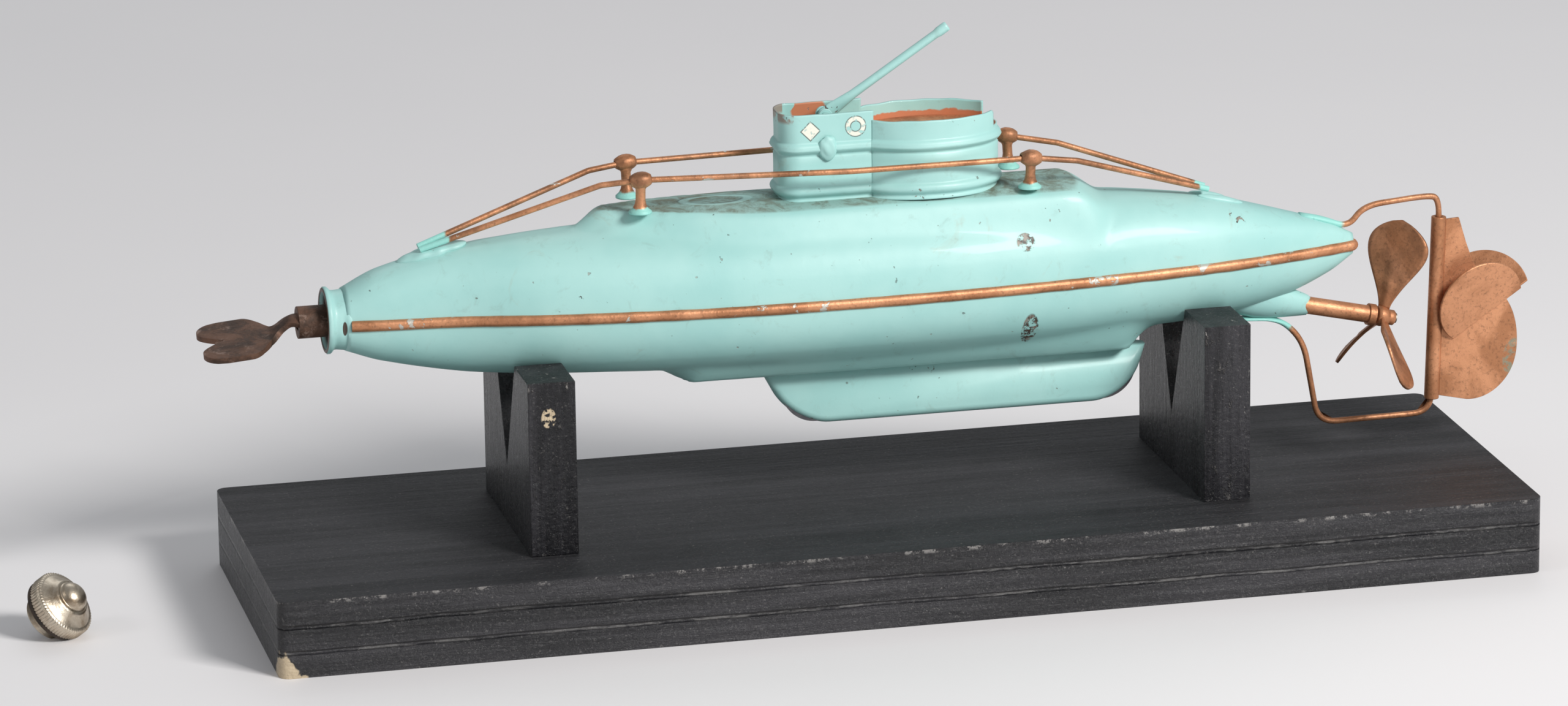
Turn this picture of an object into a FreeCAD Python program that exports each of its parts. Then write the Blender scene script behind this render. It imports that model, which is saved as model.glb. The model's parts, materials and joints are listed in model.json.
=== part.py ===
import FreeCAD, Part
import math
import os
from FreeCAD import Placement, Rotation, Vector

# A clockwork toy submarine of pressed tinplate on a wooden display stand.
# Frame: origin at the middle of the stand's underside, +X to the stern, +Z up.

doc = FreeCAD.newDocument("ToySubmarine")
sheet = doc.addObject("Spreadsheet::Sheet", "Sizes")

driving = {
    # display stand
    "board_length": 296.0, "board_width": 91.0, "board_height": 18.0, "board_corner": 2.5,
    "post_thick": 11.0, "post_width": 55.0, "front_post_tall": 40.8, "rear_post_tall": 41.9,
    "front_post_x": -81.4, "rear_post_x": 77.2, "notch_floor": 14.0, "seat_gap": 0.25,
    "screw_radius": 2.0, "screw_long": 32.0, "screw_head": 3.8, "screw_sink": 0.6,
    "screw_spacing": 34.0,
    # hull
    "hull_front": -124.0, "hull_back": 115.6, "seam_height": 69.5, "hull_half_beam": 19.2,
    "hull_rise": 19.0, "hull_drop": 17.2, "tin": 0.5,
    "casing_front": -72.0, "casing_back": 55.0, "casing_half": 12.6, "casing_top": 91.4,
    "casing_ramp": 8.0, "casing_taper": 50.0, "casing_tail": 8.0, "casing_end_drop": 4.5,
    "strake_tall": 2.0, "strake_proud": 0.8, "strake_front": -123.0,
    "pad_front": -53.0, "pad_back": 66.0, "pad_half": 8.0, "pad_bottom": 49.6,
    "pad_ramp": 14.0, "pad_end_drop": 4.5,
    "fin_front": -26.8, "fin_back": 65.0, "fin_bottom": 36.5, "fin_thick": 5.0, "fin_corner": 9.0,
    "fin_wall": 0.7, "fin_front_rake": 7.0, "fin_back_rake": 4.0,
    # bow
    "collar_front": -128.5, "collar_long": 24.0, "collar_radius": 6.3, "collar_bore": 5.7,
    "rim_radius": 7.7, "rim_long": 2.4, "rim_round": 0.9,
    "bush_long": 4.0,
    "cap_radius": 8.0, "cap_band": 3.4, "cap_cone": 2.6, "cap_dome": 3.5, "cap_thread": 5.5,
    "cap_thread_long": 4.0, "cap_x": -192.0, "cap_turn": -38.0, "cap_tip": 52.0,
    # key
    "key_front": -134.5, "key_long": 17.0, "key_radius": 3.7, "square_side": 3.0,
    "square_gap": 0.12, "key_plate_thick": 1.2, "key_half_width": 9.6, "key_plate_long": 22.3,
    "key_tilt": 1.0, "key_neck_half": 2.6, "key_neck_long": 4.0, "key_drop": 2.7,
    "key_tongue": 9.0, "square_front": -131.0, "square_long": 16.0,
    # conning tower
    "small_front": -22.4, "small_half": 6.2, "small_rim": 111.2, "small_back": 2.0,
    "small_corner": 4.2, "floor_thick": 0.6,
    "oval_x": 12.4, "oval_long": 17.1, "oval_half": 10.6, "oval_rim": 109.0,
    "door_half": 5.0, "door_floor": 105.4, "floor_height": 105.2, "bead_proud": 0.9,
    "upper_bead": 103.3, "lower_bead": 93.2, "bead_tall": 1.0,
    "mast_x": -11.1, "mast_z": 109.5, "mast_radius": 0.95, "mast_bore": 0.55, "mast_long": 35.0,
    "mast_lean": 33.0, "rivet_radius": 0.6, "rivet_gap": 0.06, "mast_neck": 3.0,
    "ear_radius": 1.5, "ear_thick": 1.0, "cheek_radius": 1.7, "cheek_thick": 0.7, "cheek_gap": 0.5,
    # handrails
    "wire_radius": 0.68, "rail_front_x": -106.0, "rail_front_z": 84.9, "rail_rise_x": -65.0,
    "rail_height": 99.3, "rail_half": 12.6, "rail_drop_x": 46.6, "rail_back_x": 80.0,
    "rail_back_z": 85.8, "front_stanchion_x": -56.0, "rear_stanchion_x": 35.0,
    "front_stanchion_y": 7.2, "rear_stanchion_y": 9.6, "rail_inset": 1.5, "rail_bulge_front": -8.0,
    "rail_bulge_back": 22.0, "rail_bend": 5.0, "stanchion_radius": 1.15,
    "stanchion_head": 1.9, "stanchion_foot": 2.6, "foot_tall": 0.8,
    # propeller
    "shaft_slope": 12.5, "hub_x": 123.2, "hub_z": 51.42, "shaft_radius": 1.2, "shaft_front_x": 41.5,
    "stern_tube_radius": 2.05, "stern_tube_gap": 0.06, "stern_tube_front": 93.0,
    "stern_tube_back": 121.2, "bell_long": 1.6, "bell_step": 0.5, "tube_solder_x": 100.5,
    "tube_solder_radius": 4.8,
    "hub_radius": 2.4, "hub_long": 3.0, "blade_long": 21.6,
    "blade_wide": 14.8, "blade_thick": 0.7, "blade_pitch": 46.0, "blade_turn": 6.0, "nut_radius": 1.9,
    # rudder
    "rudder_top_x": 136.9, "rudder_top_z": 74.7, "rudder_foot_x": 135.6, "rudder_foot_z": 30.4,
    "rudder_tube_radius": 1.75, "hinge_gap": 0.07, "pin_long": 8.0, "rudder_thick": 0.7,
    "rudder_reach": 20.6, "rudder_seam": 0.9, "rudder_wire_bend": 2.8, "wire_tab_long": 11.0,
    "wire_tab_wide": 3.6, "wire_tab_thick": 0.8, "wire_foot_x": 107.4,
    "plane_radius": 10.8, "plane_offset": 4.0, "plane_splay": 20.0,
    "far_splay": 42.0, "far_slide": 2.5, "plane_thick": 0.6,
    # clockwork
    "plate_radius": 14.6, "plate_thick": 1.2, "pillar_pin": 0.7,
    "foot_plate_thick": 0.9, "front_plate_x": -28.0, "middle_plate_x": -8.0,
    "rear_plate_x": 4.5, "pillar_radius": 1.2, "pillar_circle": 12.6, "arbor_radius": 1.6,
    "pivot_gap": 0.05, "spring_outer": 9.6, "spring_wide": 10.0, "spring_thick": 0.4,
    "spring_turns": 6.0, "great_module": 0.5, "great_teeth": 36.0, "second_leaves": 10.0,
    "train_module": 0.4, "wheel_teeth": 24.0, "leaf_count": 8.0, "wheel_thick": 1.2,
    "staff_radius": 0.8, "pivot_radius": 0.5, "click_y": 4.0, "click_drop": 6.2,
    "click_thick": 1.2, "stud_radius": 0.6, "ratchet_radius": 4.4, "ratchet_teeth": 12.0, "fork_radius": 4.0,
    "fork_slot": 2.8, "fork_long": 6.0, "tang_wide": 5.0, "tang_thick": 0.9,
}


def fillSheet():
    row = 1
    for alias, value in driving.items():
        sheet.set("A%d" % row, alias)
        sheet.set("B%d" % row, str(value))
        sheet.setAlias("B%d" % row, alias)
        row += 1
    doc.recompute()


def size(alias):
    return float(sheet.get(alias))


def bind(item, **expressions):
    for prop, expression in expressions.items():
        item.setExpression(prop.replace("__", "."), expression)


fillSheet()
subParts = []


def keep(item, label):
    item.Label = label
    subParts.append(item)
    return item


# ---------------------------------------------------------------- general makers

def part(label, shape, place=None):
    """A sub-part whose shape comes from Part's own functions."""
    item = doc.addObject("Part::Feature", label)
    item.Shape = shape
    item.Placement = place or Placement()
    return keep(item, label)


def rod(start, end, radius):
    along = end - start
    return Part.makeCylinder(radius, along.Length, start, along)


def bentWire(points, radius, bend):
    """A round wire through the points, with a tangent arc at each inner point."""
    edges = []
    last = points[0]
    for before, corner, after in zip(points, points[1:], points[2:]):
        into = (corner - before).normalize()
        out = (after - corner).normalize()
        turn = into.getAngle(out)
        reach = bend * math.tan(turn / 2)
        start = corner - into * reach
        stop = corner + out * reach
        toCentre = (out - into).normalize() * (bend / math.cos(turn / 2))
        middle = corner + toCentre - toCentre.normalize() * bend
        edges.append(Part.makeLine(last, start))
        edges.append(Part.Arc(start, middle, stop).toShape())
        last = stop
    edges.append(Part.makeLine(last, points[-1]))
    path = Part.Wire(edges)
    ring = Part.Wire(Part.makeCircle(radius, points[0], points[1] - points[0]))
    return path.makePipeShell([ring], True, False)


def blob(centre, lengthX, lengthY, lengthZ):
    """A lump of solder: a ball stretched along the three axes."""
    ball = Part.makeSphere(1.0)
    stretch = FreeCAD.Matrix()
    stretch.scale(lengthX, lengthY, lengthZ)
    ball = ball.transformGeometry(stretch)
    ball.translate(centre)
    return ball


def polygonFace(points):
    return Part.Face(Part.makePolygon(points + [points[0]]))


def originPlane(body, role):
    for feature in body.Origin.OriginFeatures:
        if feature.Role == role:
            return feature


def bodySketch(body, role, name):
    sketch = body.newObject("Sketcher::SketchObject", name)
    sketch.AttachmentSupport = [(originPlane(body, role), "")]
    sketch.MapMode = "FlatFace"
    return sketch


def sketchOutline(sketch, points):
    """A closed outline of straight lines; points are (horizontal, vertical)."""
    corners = [Vector(across, up, 0) for across, up in points]
    for start, end in zip(corners, corners[1:] + corners[:1]):
        sketch.addGeometry(Part.LineSegment(start, end), False)


def padBody(label, role, points, length, midplane):
    """A body padded from one outline; the length is bound to the sheet."""
    body = doc.addObject("PartDesign::Body", label + "_body")
    sketch = bodySketch(body, role, label + "_outline")
    sketchOutline(sketch, points)
    pad = body.newObject("PartDesign::Pad", label + "_pad")
    pad.Profile = sketch
    pad.Midplane = midplane
    pad.setExpression("Length", length)
    doc.recompute()
    return body


def cutFrom(base, tools, label):
    """A Part::Cut of the base by one or more tool objects."""
    tool = tools[0]
    if len(tools) > 1:
        tool = doc.addObject("Part::MultiFuse", label + "_tools")
        tool.Shapes = tools
    item = doc.addObject("Part::Cut", label)
    item.Base = base
    item.Tool = tool
    return keep(item, label)


# ---------------------------------------------------------------- display stand

def makeScrews():
    """Four wood screws, driven up through the board into the posts."""
    screws = []
    for post in ("front_post_x", "rear_post_x"):
        for side, sign in (("left", 1), ("right", -1)):
            shank = doc.addObject("Part::Cylinder", "screw_shank")
            bind(shank, Radius="Sizes.screw_radius", Height="Sizes.screw_long")
            head = doc.addObject("Part::Cone", "screw_cone")
            bind(head, Radius1="Sizes.screw_head", Radius2="Sizes.screw_radius",
                 Height="Sizes.screw_head - Sizes.screw_radius")
            screw = doc.addObject("Part::MultiFuse", "screw_%s_%s" % (post, side))
            screw.Shapes = [shank, head]
            bind(screw, Placement__Base__x="Sizes." + post,
                 Placement__Base__y="%d * Sizes.screw_spacing / 2" % sign,
                 Placement__Base__z="Sizes.screw_sink")
            screws.append(screw)
    group = doc.addObject("Part::Compound", "post_screws")
    group.Links = screws
    keep(group, "post_screws")


def makeBoard():
    body = doc.addObject("PartDesign::Body", "board_body")
    sketch = bodySketch(body, "XY_Plane", "board_outline")
    halfLong = size("board_length") / 2
    halfWide = size("board_width") / 2
    sketchOutline(sketch, [(-halfLong, -halfWide), (halfLong, -halfWide),
                           (halfLong, halfWide), (-halfLong, halfWide)])
    pad = body.newObject("PartDesign::Pad", "board_pad")
    pad.Profile = sketch
    pad.setExpression("Length", "Sizes.board_height")
    doc.recompute()
    upright = []
    for number, edge in enumerate(pad.Shape.Edges, 1):
        low, high = edge.Vertexes[0].Point, edge.Vertexes[-1].Point
        if abs(low.z - high.z) > 1:
            upright.append("Edge%d" % number)
    corners = body.newObject("PartDesign::Fillet", "board_corners")
    corners.Base = (pad, upright)
    corners.setExpression("Radius", "Sizes.board_corner")
    cutFrom(body, [screwHoles("board_holes")], "base_board")


def screwHoles(name):
    """Clearance for the screws from below the board up into the posts."""
    spacing = size("screw_spacing") / 2
    sink = size("screw_sink")
    shapes = []
    for post in (size("front_post_x"), size("rear_post_x")):
        for side in (1, -1):
            foot = Vector(post, side * spacing, 0)
            reach = size("screw_head") - size("screw_radius")
            shank = Part.makeCylinder(size("screw_radius"), size("screw_long") + sink, foot)
            cone = Part.makeCone(size("screw_head"), size("screw_radius"), reach,
                                 foot + Vector(0, 0, sink))
            mouth = Part.makeCylinder(size("screw_head"), sink, foot)
            shapes.append(shank.fuse([cone, mouth]))
    holes = doc.addObject("Part::Feature", name)
    holes.Shape = Part.makeCompound(shapes)
    return holes


def makePost(label, centre, tall, form):
    """An upright with a V notch; the hull rests on the notch's top edges."""
    board = size("board_height")
    height = size(tall)
    half = size("post_width") / 2
    top = board + height
    seat = hullHalfWidthAt(form, size(centre), size("post_thick"), top) + size("seat_gap")
    points = [(-half, board), (half, board), (half, top), (seat, top),
              (0, board + size("notch_floor")), (-seat, top), (-half, top)]
    body = padBody(label, "YZ_Plane", points, "Sizes.post_thick", True)
    bind(body, Placement__Base__x="Sizes." + centre)
    holes = screwHoles(label + "_holes")
    cutFrom(body, [holes], label)


# ---------------------------------------------------------------- hull form

# Stations along the hull: share of the length from the bow, then the share of
# the half beam, of the rise above the seam and of the drop below it.
stations = (
    (0.000, 0.350, 0.375, 0.405), (0.035, 0.410, 0.590, 0.580), (0.105, 0.500, 0.790, 0.790),
    (0.185, 0.715, 0.890, 0.895), (0.270, 0.870, 0.950, 0.950), (0.360, 0.970, 0.980, 0.990),
    (0.460, 1.000, 1.000, 1.000), (0.580, 0.970, 0.990, 0.990), (0.690, 0.870, 0.955, 0.965),
    (0.780, 0.740, 0.880, 0.890), (0.860, 0.580, 0.730, 0.810), (0.930, 0.360, 0.500, 0.610),
    (0.975, 0.180, 0.310, 0.360), (1.000, 0.070, 0.150, 0.130),
)
fullness = 2.35


def hullHalfWidthAt(form, centre, thick, z):
    """The widest half width of the hull over a post's thickness, at its top."""
    thin = 0.2
    slab = Part.makeBox(thick, 100, thin, Vector(centre - thick / 2, -50, z - thin / 2))
    return form.common(slab).optimalBoundingBox(False).YMax


def sectionWire(x, wide, rise, drop):
    """A closed hull section, a rounded oval about the seam height."""
    points = []
    for step in range(24):
        angle = 2 * math.pi * step / 24
        across = math.cos(angle)
        up = math.sin(angle)
        y = math.copysign(abs(across) ** (2 / fullness), across) * wide
        z = math.copysign(abs(up) ** (2 / fullness), up)
        z = z * (rise if up > 0 else drop)
        points.append(Vector(x, y, size("seam_height") + z))
    curve = Part.BSplineCurve()
    curve.interpolate(points, True)
    return Part.Wire(curve.toShape())


def hullForm(grow):
    """The solid hull form, grown or shrunk by a wall thickness."""
    front = size("hull_front")
    long = size("hull_back") - front
    wires = []
    for share, wide, rise, drop in stations:
        x = front + share * long
        end = 0
        if share == 0:
            end = -grow if grow < 0 else 0
        if share == 1:
            end = grow if grow < 0 else 0
        wires.append(sectionWire(x + end, max(wide * size("hull_half_beam") + grow, 0.5),
                                 max(rise * size("hull_rise") + grow, 0.8),
                                 max(drop * size("hull_drop") + grow, 0.6)))
    return Part.makeLoft(wires, True, False, False)


def casingForm(shrink):
    """The raised deck: an ogival prism with a ramp at each end."""
    front = size("casing_front") + shrink
    back = size("casing_back") - shrink
    half = size("casing_half") - shrink
    top = size("casing_top") - shrink
    low = size("seam_height") + size("hull_rise") / 2
    taper = size("casing_taper")
    full = size("casing_front") + taper
    straight = back - size("casing_tail")
    side = [Vector(front, 0, low), Vector(front + taper * 0.34, half * 0.60, low),
            Vector(front + taper * 0.68, half * 0.90, low), Vector(full, half, low)]
    curve = Part.BSplineCurve()
    curve.interpolate(side)
    edges = [curve.toShape(), Part.makeLine(side[-1], Vector(straight, half, low))]
    edges.append(Part.Arc(Vector(straight, half, low), Vector(back, 0, low),
                          Vector(straight, -half, low)).toShape())
    mirror = FreeCAD.Matrix()
    mirror.scale(1, -1, 1)
    edges.append(Part.makeLine(Vector(straight, -half, low), Vector(full, -half, low)))
    edges.append(edges[0].transformGeometry(mirror))
    outline = Part.Wire(Part.sortEdges(edges)[0])
    prism = Part.Face(outline).extrude(Vector(0, 0, top - low))
    ramp = size("casing_ramp")
    end = top - size("casing_end_drop")
    wide = 2 * size("hull_half_beam")
    profile = [Vector(front, -wide, low), Vector(back, -wide, low), Vector(back, -wide, end),
               Vector(back - ramp * 0.7, -wide, top), Vector(front + ramp, -wide, top),
               Vector(front, -wide, end)]
    wedge = polygonFace(profile).extrude(Vector(0, 2 * wide, 0))
    return prism.common(wedge)


def padForm(shrink):
    """The shallow blister under the hull that carries the keel."""
    front = size("pad_front") + shrink
    back = size("pad_back") - shrink
    half = size("pad_half") - shrink
    bottom = size("pad_bottom") + shrink
    end = bottom + size("pad_end_drop")
    ramp = size("pad_ramp")
    top = size("seam_height") - size("hull_drop") / 4
    profile = [Vector(front, -half, top), Vector(front, -half, end),
               Vector(front + ramp, -half, bottom), Vector(back - ramp, -half, bottom),
               Vector(back, -half, end), Vector(back, -half, top)]
    return polygonFace(profile).extrude(Vector(0, 2 * half, 0))


def slab(low, high):
    return Part.makeBox(400, 200, high - low, Vector(-200, -100, low))


def shaftPoint(x):
    """The point on the propeller shaft's sloping line at a given x."""
    drop = (x - size("hub_x")) * math.tan(math.radians(size("shaft_slope")))
    return Vector(x, 0, size("hub_z") - drop)


def shaftRod(front, back, radius):
    return rod(shaftPoint(front), shaftPoint(back), radius)


def makeHull():
    tin = size("tin")
    seam = size("seam_height")
    outer = hullForm(0)
    inner = hullForm(-tin)
    collar = Part.makeCylinder(size("collar_radius"), size("collar_long"),
                               Vector(size("collar_front"), 0, seam), Vector(1, 0, 0))
    upperOuter = outer.fuse(casingForm(0)).common(slab(seam, 120))
    upperInner = inner.fuse(casingForm(tin))
    upper = upperOuter.cut(upperInner).cut(collar)
    part("upper_hull", upper.removeSplitter())
    lowerOuter = outer.fuse(padForm(0)).common(slab(20, seam))
    lowerInner = inner.fuse(padForm(tin))
    tube = shaftRod(size("stern_tube_front") - 5, size("stern_tube_back"),
                    size("stern_tube_radius"))
    lower = lowerOuter.cut(lowerInner).cut(collar).cut(tube)
    part("lower_hull", lower.removeSplitter())
    strakeHalf = size("strake_tall") / 2
    band = hullForm(size("strake_proud")).common(slab(seam - strakeHalf, seam + strakeHalf))
    nose = Part.makeBox(40, 80, 40, Vector(size("strake_front") - 40, -40, seam - 20))
    part("seam_strake", band.cut(outer).cut(nose))
    return outer


def makeCollar():
    """The bow tube that takes the key and, over it, the screwed nose cap."""
    seam = size("seam_height")
    front = Vector(size("collar_front"), 0, seam)
    axis = Vector(1, 0, 0)
    neck = Part.makeCylinder(size("collar_radius"), size("collar_long"), front, axis)
    rim = Part.makeCylinder(size("rim_radius"), size("rim_long"), front, axis)
    rim = rim.makeFillet(size("rim_round"), rim.Edges)
    bore = Part.makeCylinder(size("collar_bore"), size("collar_long"), front, axis)
    part("bow_collar", neck.fuse(rim).cut(bore).removeSplitter())
    back = front + Vector(size("collar_long") - size("bush_long"), 0, 0)
    disc = Part.makeCylinder(size("collar_bore"), size("bush_long"), back, axis)
    hole = Part.makeCylinder(size("arbor_radius") + size("pivot_gap"), size("bush_long"), back, axis)
    part("arbor_bush", disc.cut(hole))


def makeKeel(outer):
    """A folded sheet keel with a lead weight inside, soldered on under the pad."""
    front, back = size("fin_front"), size("fin_back")
    bottom, top = size("fin_bottom"), size("pad_bottom")
    half = size("fin_thick") / 2
    wall = size("fin_wall")
    low = front + size("fin_front_rake")
    high = back - size("fin_back_rake")

    def sheetForm(inset):
        profile = [Vector(front + inset, -half + inset, top),
                   Vector(low + inset, -half + inset, bottom + inset),
                   Vector(high - inset, -half + inset, bottom + inset),
                   Vector(back - inset, -half + inset, top)]
        block = polygonFace(profile).extrude(Vector(0, 2 * (half - inset), 0))
        rounded = [edge for edge in block.Edges
                   if abs(edge.Vertexes[0].Z - bottom - inset) < 0.01
                   and abs(edge.Vertexes[-1].Z - bottom - inset) < 0.01
                   and abs(edge.Vertexes[0].X - edge.Vertexes[-1].X) < 0.01]
        return block.makeFillet(size("fin_corner") - inset, rounded)

    lead = sheetForm(wall).common(slab(bottom, top - 2 * wall))
    part("keel_fin", sheetForm(0).cut(sheetForm(wall)))
    part("keel_ballast", lead)
    lumps = []
    for x in (front + 0.5, back - 1.0):
        lump = blob(Vector(x, 0, top - 0.2), 4.5, 3.0, 1.6)
        lumps.append(lump.common(slab(bottom, top)).cut(sheetForm(0)))
    part("keel_solder", Part.makeCompound(lumps))


# ---------------------------------------------------------------- conning tower

def smallTower(grow, low, high):
    """The forward, U-shaped tower as a solid, grown by a wall."""
    half = size("small_half") + grow
    front = size("small_front") - grow
    back = size("small_back")
    corner = size("small_corner") + grow
    box = Part.makeBox(back - front, 2 * half, high - low, Vector(front, -half, low))
    edges = []
    for edge in box.Edges:
        upright = abs(edge.Vertexes[0].Z - edge.Vertexes[-1].Z) > 0.1
        if upright and edge.Vertexes[0].X < front + 0.1:
            edges.append(edge)
    return box.makeFillet(corner, edges)


def ovalTower(grow, low, high):
    ellipse = Part.Ellipse(Vector(size("oval_x"), 0, low), size("oval_long") + grow,
                           size("oval_half") + grow)
    return Part.Face(Part.Wire(ellipse.toShape())).extrude(Vector(0, 0, high - low))


def makeTower():
    tin = size("tin")
    low = size("casing_top")
    smallRim, ovalRim = size("small_rim"), size("oval_rim")
    beadHalf = size("bead_tall") / 2
    proud = size("bead_proud")

    def shell(form, rim):
        outside = form(0, low, rim)
        for bead in ("upper_bead", "lower_bead"):
            outside = outside.fuse(form(proud, size(bead) - beadHalf, size(bead) + beadHalf))
        return outside.cut(form(-tin, low, rim + 1))

    oval = shell(ovalTower, ovalRim)
    opening = smallTower(-tin, low, smallRim).common(ovalTower(2, low, smallRim))
    oval = oval.cut(opening)
    doorX = size("oval_x") + size("oval_long") / 2
    door = Part.makeBox(size("oval_long"), 2 * size("door_half"), ovalRim,
                        Vector(doorX, -size("door_half"), size("door_floor")))
    oval = oval.cut(door)
    small = shell(smallTower, smallRim).cut(ovalTower(0, low, smallRim + 1)).cut(oval)
    part("tower_front_shell", small)
    part("tower_rear_shell", oval)
    floorLow = size("floor_height") - size("floor_thick")
    frontFloor = smallTower(-tin, floorLow, size("floor_height"))
    floor = frontFloor.fuse(ovalTower(-tin, floorLow, size("floor_height")))
    part("tower_floor", floor.cut(oval).cut(small).removeSplitter())


def mastAxis():
    lean = math.radians(size("mast_lean"))
    return Vector(math.cos(lean), 0, math.sin(lean))


def acrossRod(centre, front, long, radius):
    """A rod along Y through a centre, from a distance in front of it."""
    return Part.makeCylinder(radius, long, centre + Vector(0, front, 0), Vector(0, 1, 0))


def makeMast():
    """The hinged periscope: a thin tube on a riveted bracket in the small tower."""
    pivot = Vector(size("mast_x"), 0, size("mast_z"))
    along = mastAxis()
    neck = size("mast_neck")
    long = size("mast_long") - neck
    tube = Part.makeCylinder(size("mast_radius"), long, pivot + along * neck, along)
    tube = tube.cut(Part.makeCylinder(size("mast_bore"), long, pivot + along * neck, along))
    earThick = size("ear_thick")
    ear = acrossRod(pivot, -earThick / 2, earThick, size("ear_radius"))
    webTall = 2 * (size("mast_radius") + 0.15)
    web = Part.makeBox(neck + 1.0, earThick, webTall, Vector(0, -earThick / 2, -webTall / 2))
    web.Placement = Placement(pivot, Rotation(Vector(1, 0, 0), along))
    hole = acrossRod(pivot, -2, 4, size("rivet_radius") + size("rivet_gap"))
    part("periscope", tube.fuse(ear.fuse(web)).cut(hole).removeSplitter())
    cheekThick, cheekRadius = size("cheek_thick"), size("cheek_radius")
    inside = earThick / 2 + size("cheek_gap")
    outside = inside + cheekThick
    headThick = 0.5
    pin = acrossRod(pivot, -outside - headThick, 2 * (outside + headThick), size("rivet_radius"))
    heads = [acrossRod(pivot, y, headThick, 1.1) for y in (-outside - headThick, outside)]
    part("mast_rivet", pin.fuse(heads))
    floor = size("floor_height")
    cheeks = []
    for y in (-outside, inside):
        cheek = Part.makeBox(2 * cheekRadius, cheekThick, pivot.z - floor,
                             Vector(pivot.x - cheekRadius, y, floor))
        cheeks.append(cheek.fuse(acrossRod(pivot, y, cheekThick, cheekRadius)))
    footHalf = 2 * outside + 0.1
    foot = Part.makeBox(2 * cheekRadius, 2 * footHalf, cheekThick,
                        Vector(pivot.x - cheekRadius, -footHalf, floor))
    bracket = cheeks[0].fuse([cheeks[1], foot])
    part("mast_bracket", bracket.cut(acrossRod(pivot, -3, 6, size("rivet_radius"))).removeSplitter())


# ---------------------------------------------------------------- handrails

def railPoints(side):
    """The handrail's corners on one side; side is +1 or -1."""
    high = size("rail_height")
    half = size("rail_half")
    frontY, rearY = size("front_stanchion_y") + 1.2, size("rear_stanchion_y") + 1.2
    rows = [
        (size("rail_front_x"), size("rail_inset"), size("rail_front_z")),
        (size("rail_rise_x"), frontY - 1.4, high - 0.9),
        (size("front_stanchion_x"), frontY, high),
        (size("rail_bulge_front"), half, high - 0.3),
        (size("rail_bulge_back"), half - 0.2, high - 0.3),
        (size("rear_stanchion_x"), rearY, high - 0.6),
        (size("rail_drop_x"), rearY - 2.0, high - 2.6),
        (size("rail_back_x"), size("rail_inset"), size("rail_back_z")),
    ]
    return [Vector(x, side * y, z) for x, y, z in rows]


def makeRails(hull):
    radius = size("wire_radius")
    wires = {}
    for label, side in (("left", 1), ("right", -1)):
        wires[label] = bentWire(railPoints(side), radius, size("rail_bend"))
        part("handrail_" + label, wires[label])
    for end in ("front", "rear"):
        for label, side in (("left", 1), ("right", -1)):
            points = railPoints(side)
            top = points[2] if end == "front" else points[5]
            x = size(end + "_stanchion_x")
            foot = Vector(x, side * size(end + "_stanchion_y"), size("casing_top"))
            post = rod(foot, top, size("stanchion_radius"))
            post = post.fuse([Part.makeCylinder(size("stanchion_foot"), size("foot_tall"), foot),
                              Part.makeSphere(size("stanchion_head"), top)])
            post = post.common(slab(size("casing_top"), 130)).cut(wires[label])
            part("stanchion_%s_%s" % (end, label), post.removeSplitter())
    lumps = []
    for x, z, long in ((size("rail_front_x") + 2.5, size("rail_front_z") - 1.2, 6.5),
                       (size("rail_back_x") - 1.0, size("rail_back_z") - 1.2, 6.0)):
        lump = blob(Vector(x, 0, z), long, 3.4, 2.4)
        lumps.append(lump.cut(hull).cut(wires["left"]).cut(wires["right"]))
    part("rail_solder", Part.makeCompound([lump.Solids[0] for lump in lumps]))


# ---------------------------------------------------------------- stern gear

def rudderAxis():
    top = Vector(size("rudder_top_x"), 0, size("rudder_top_z"))
    foot = Vector(size("rudder_foot_x"), 0, size("rudder_foot_z"))
    return top, foot


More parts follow.
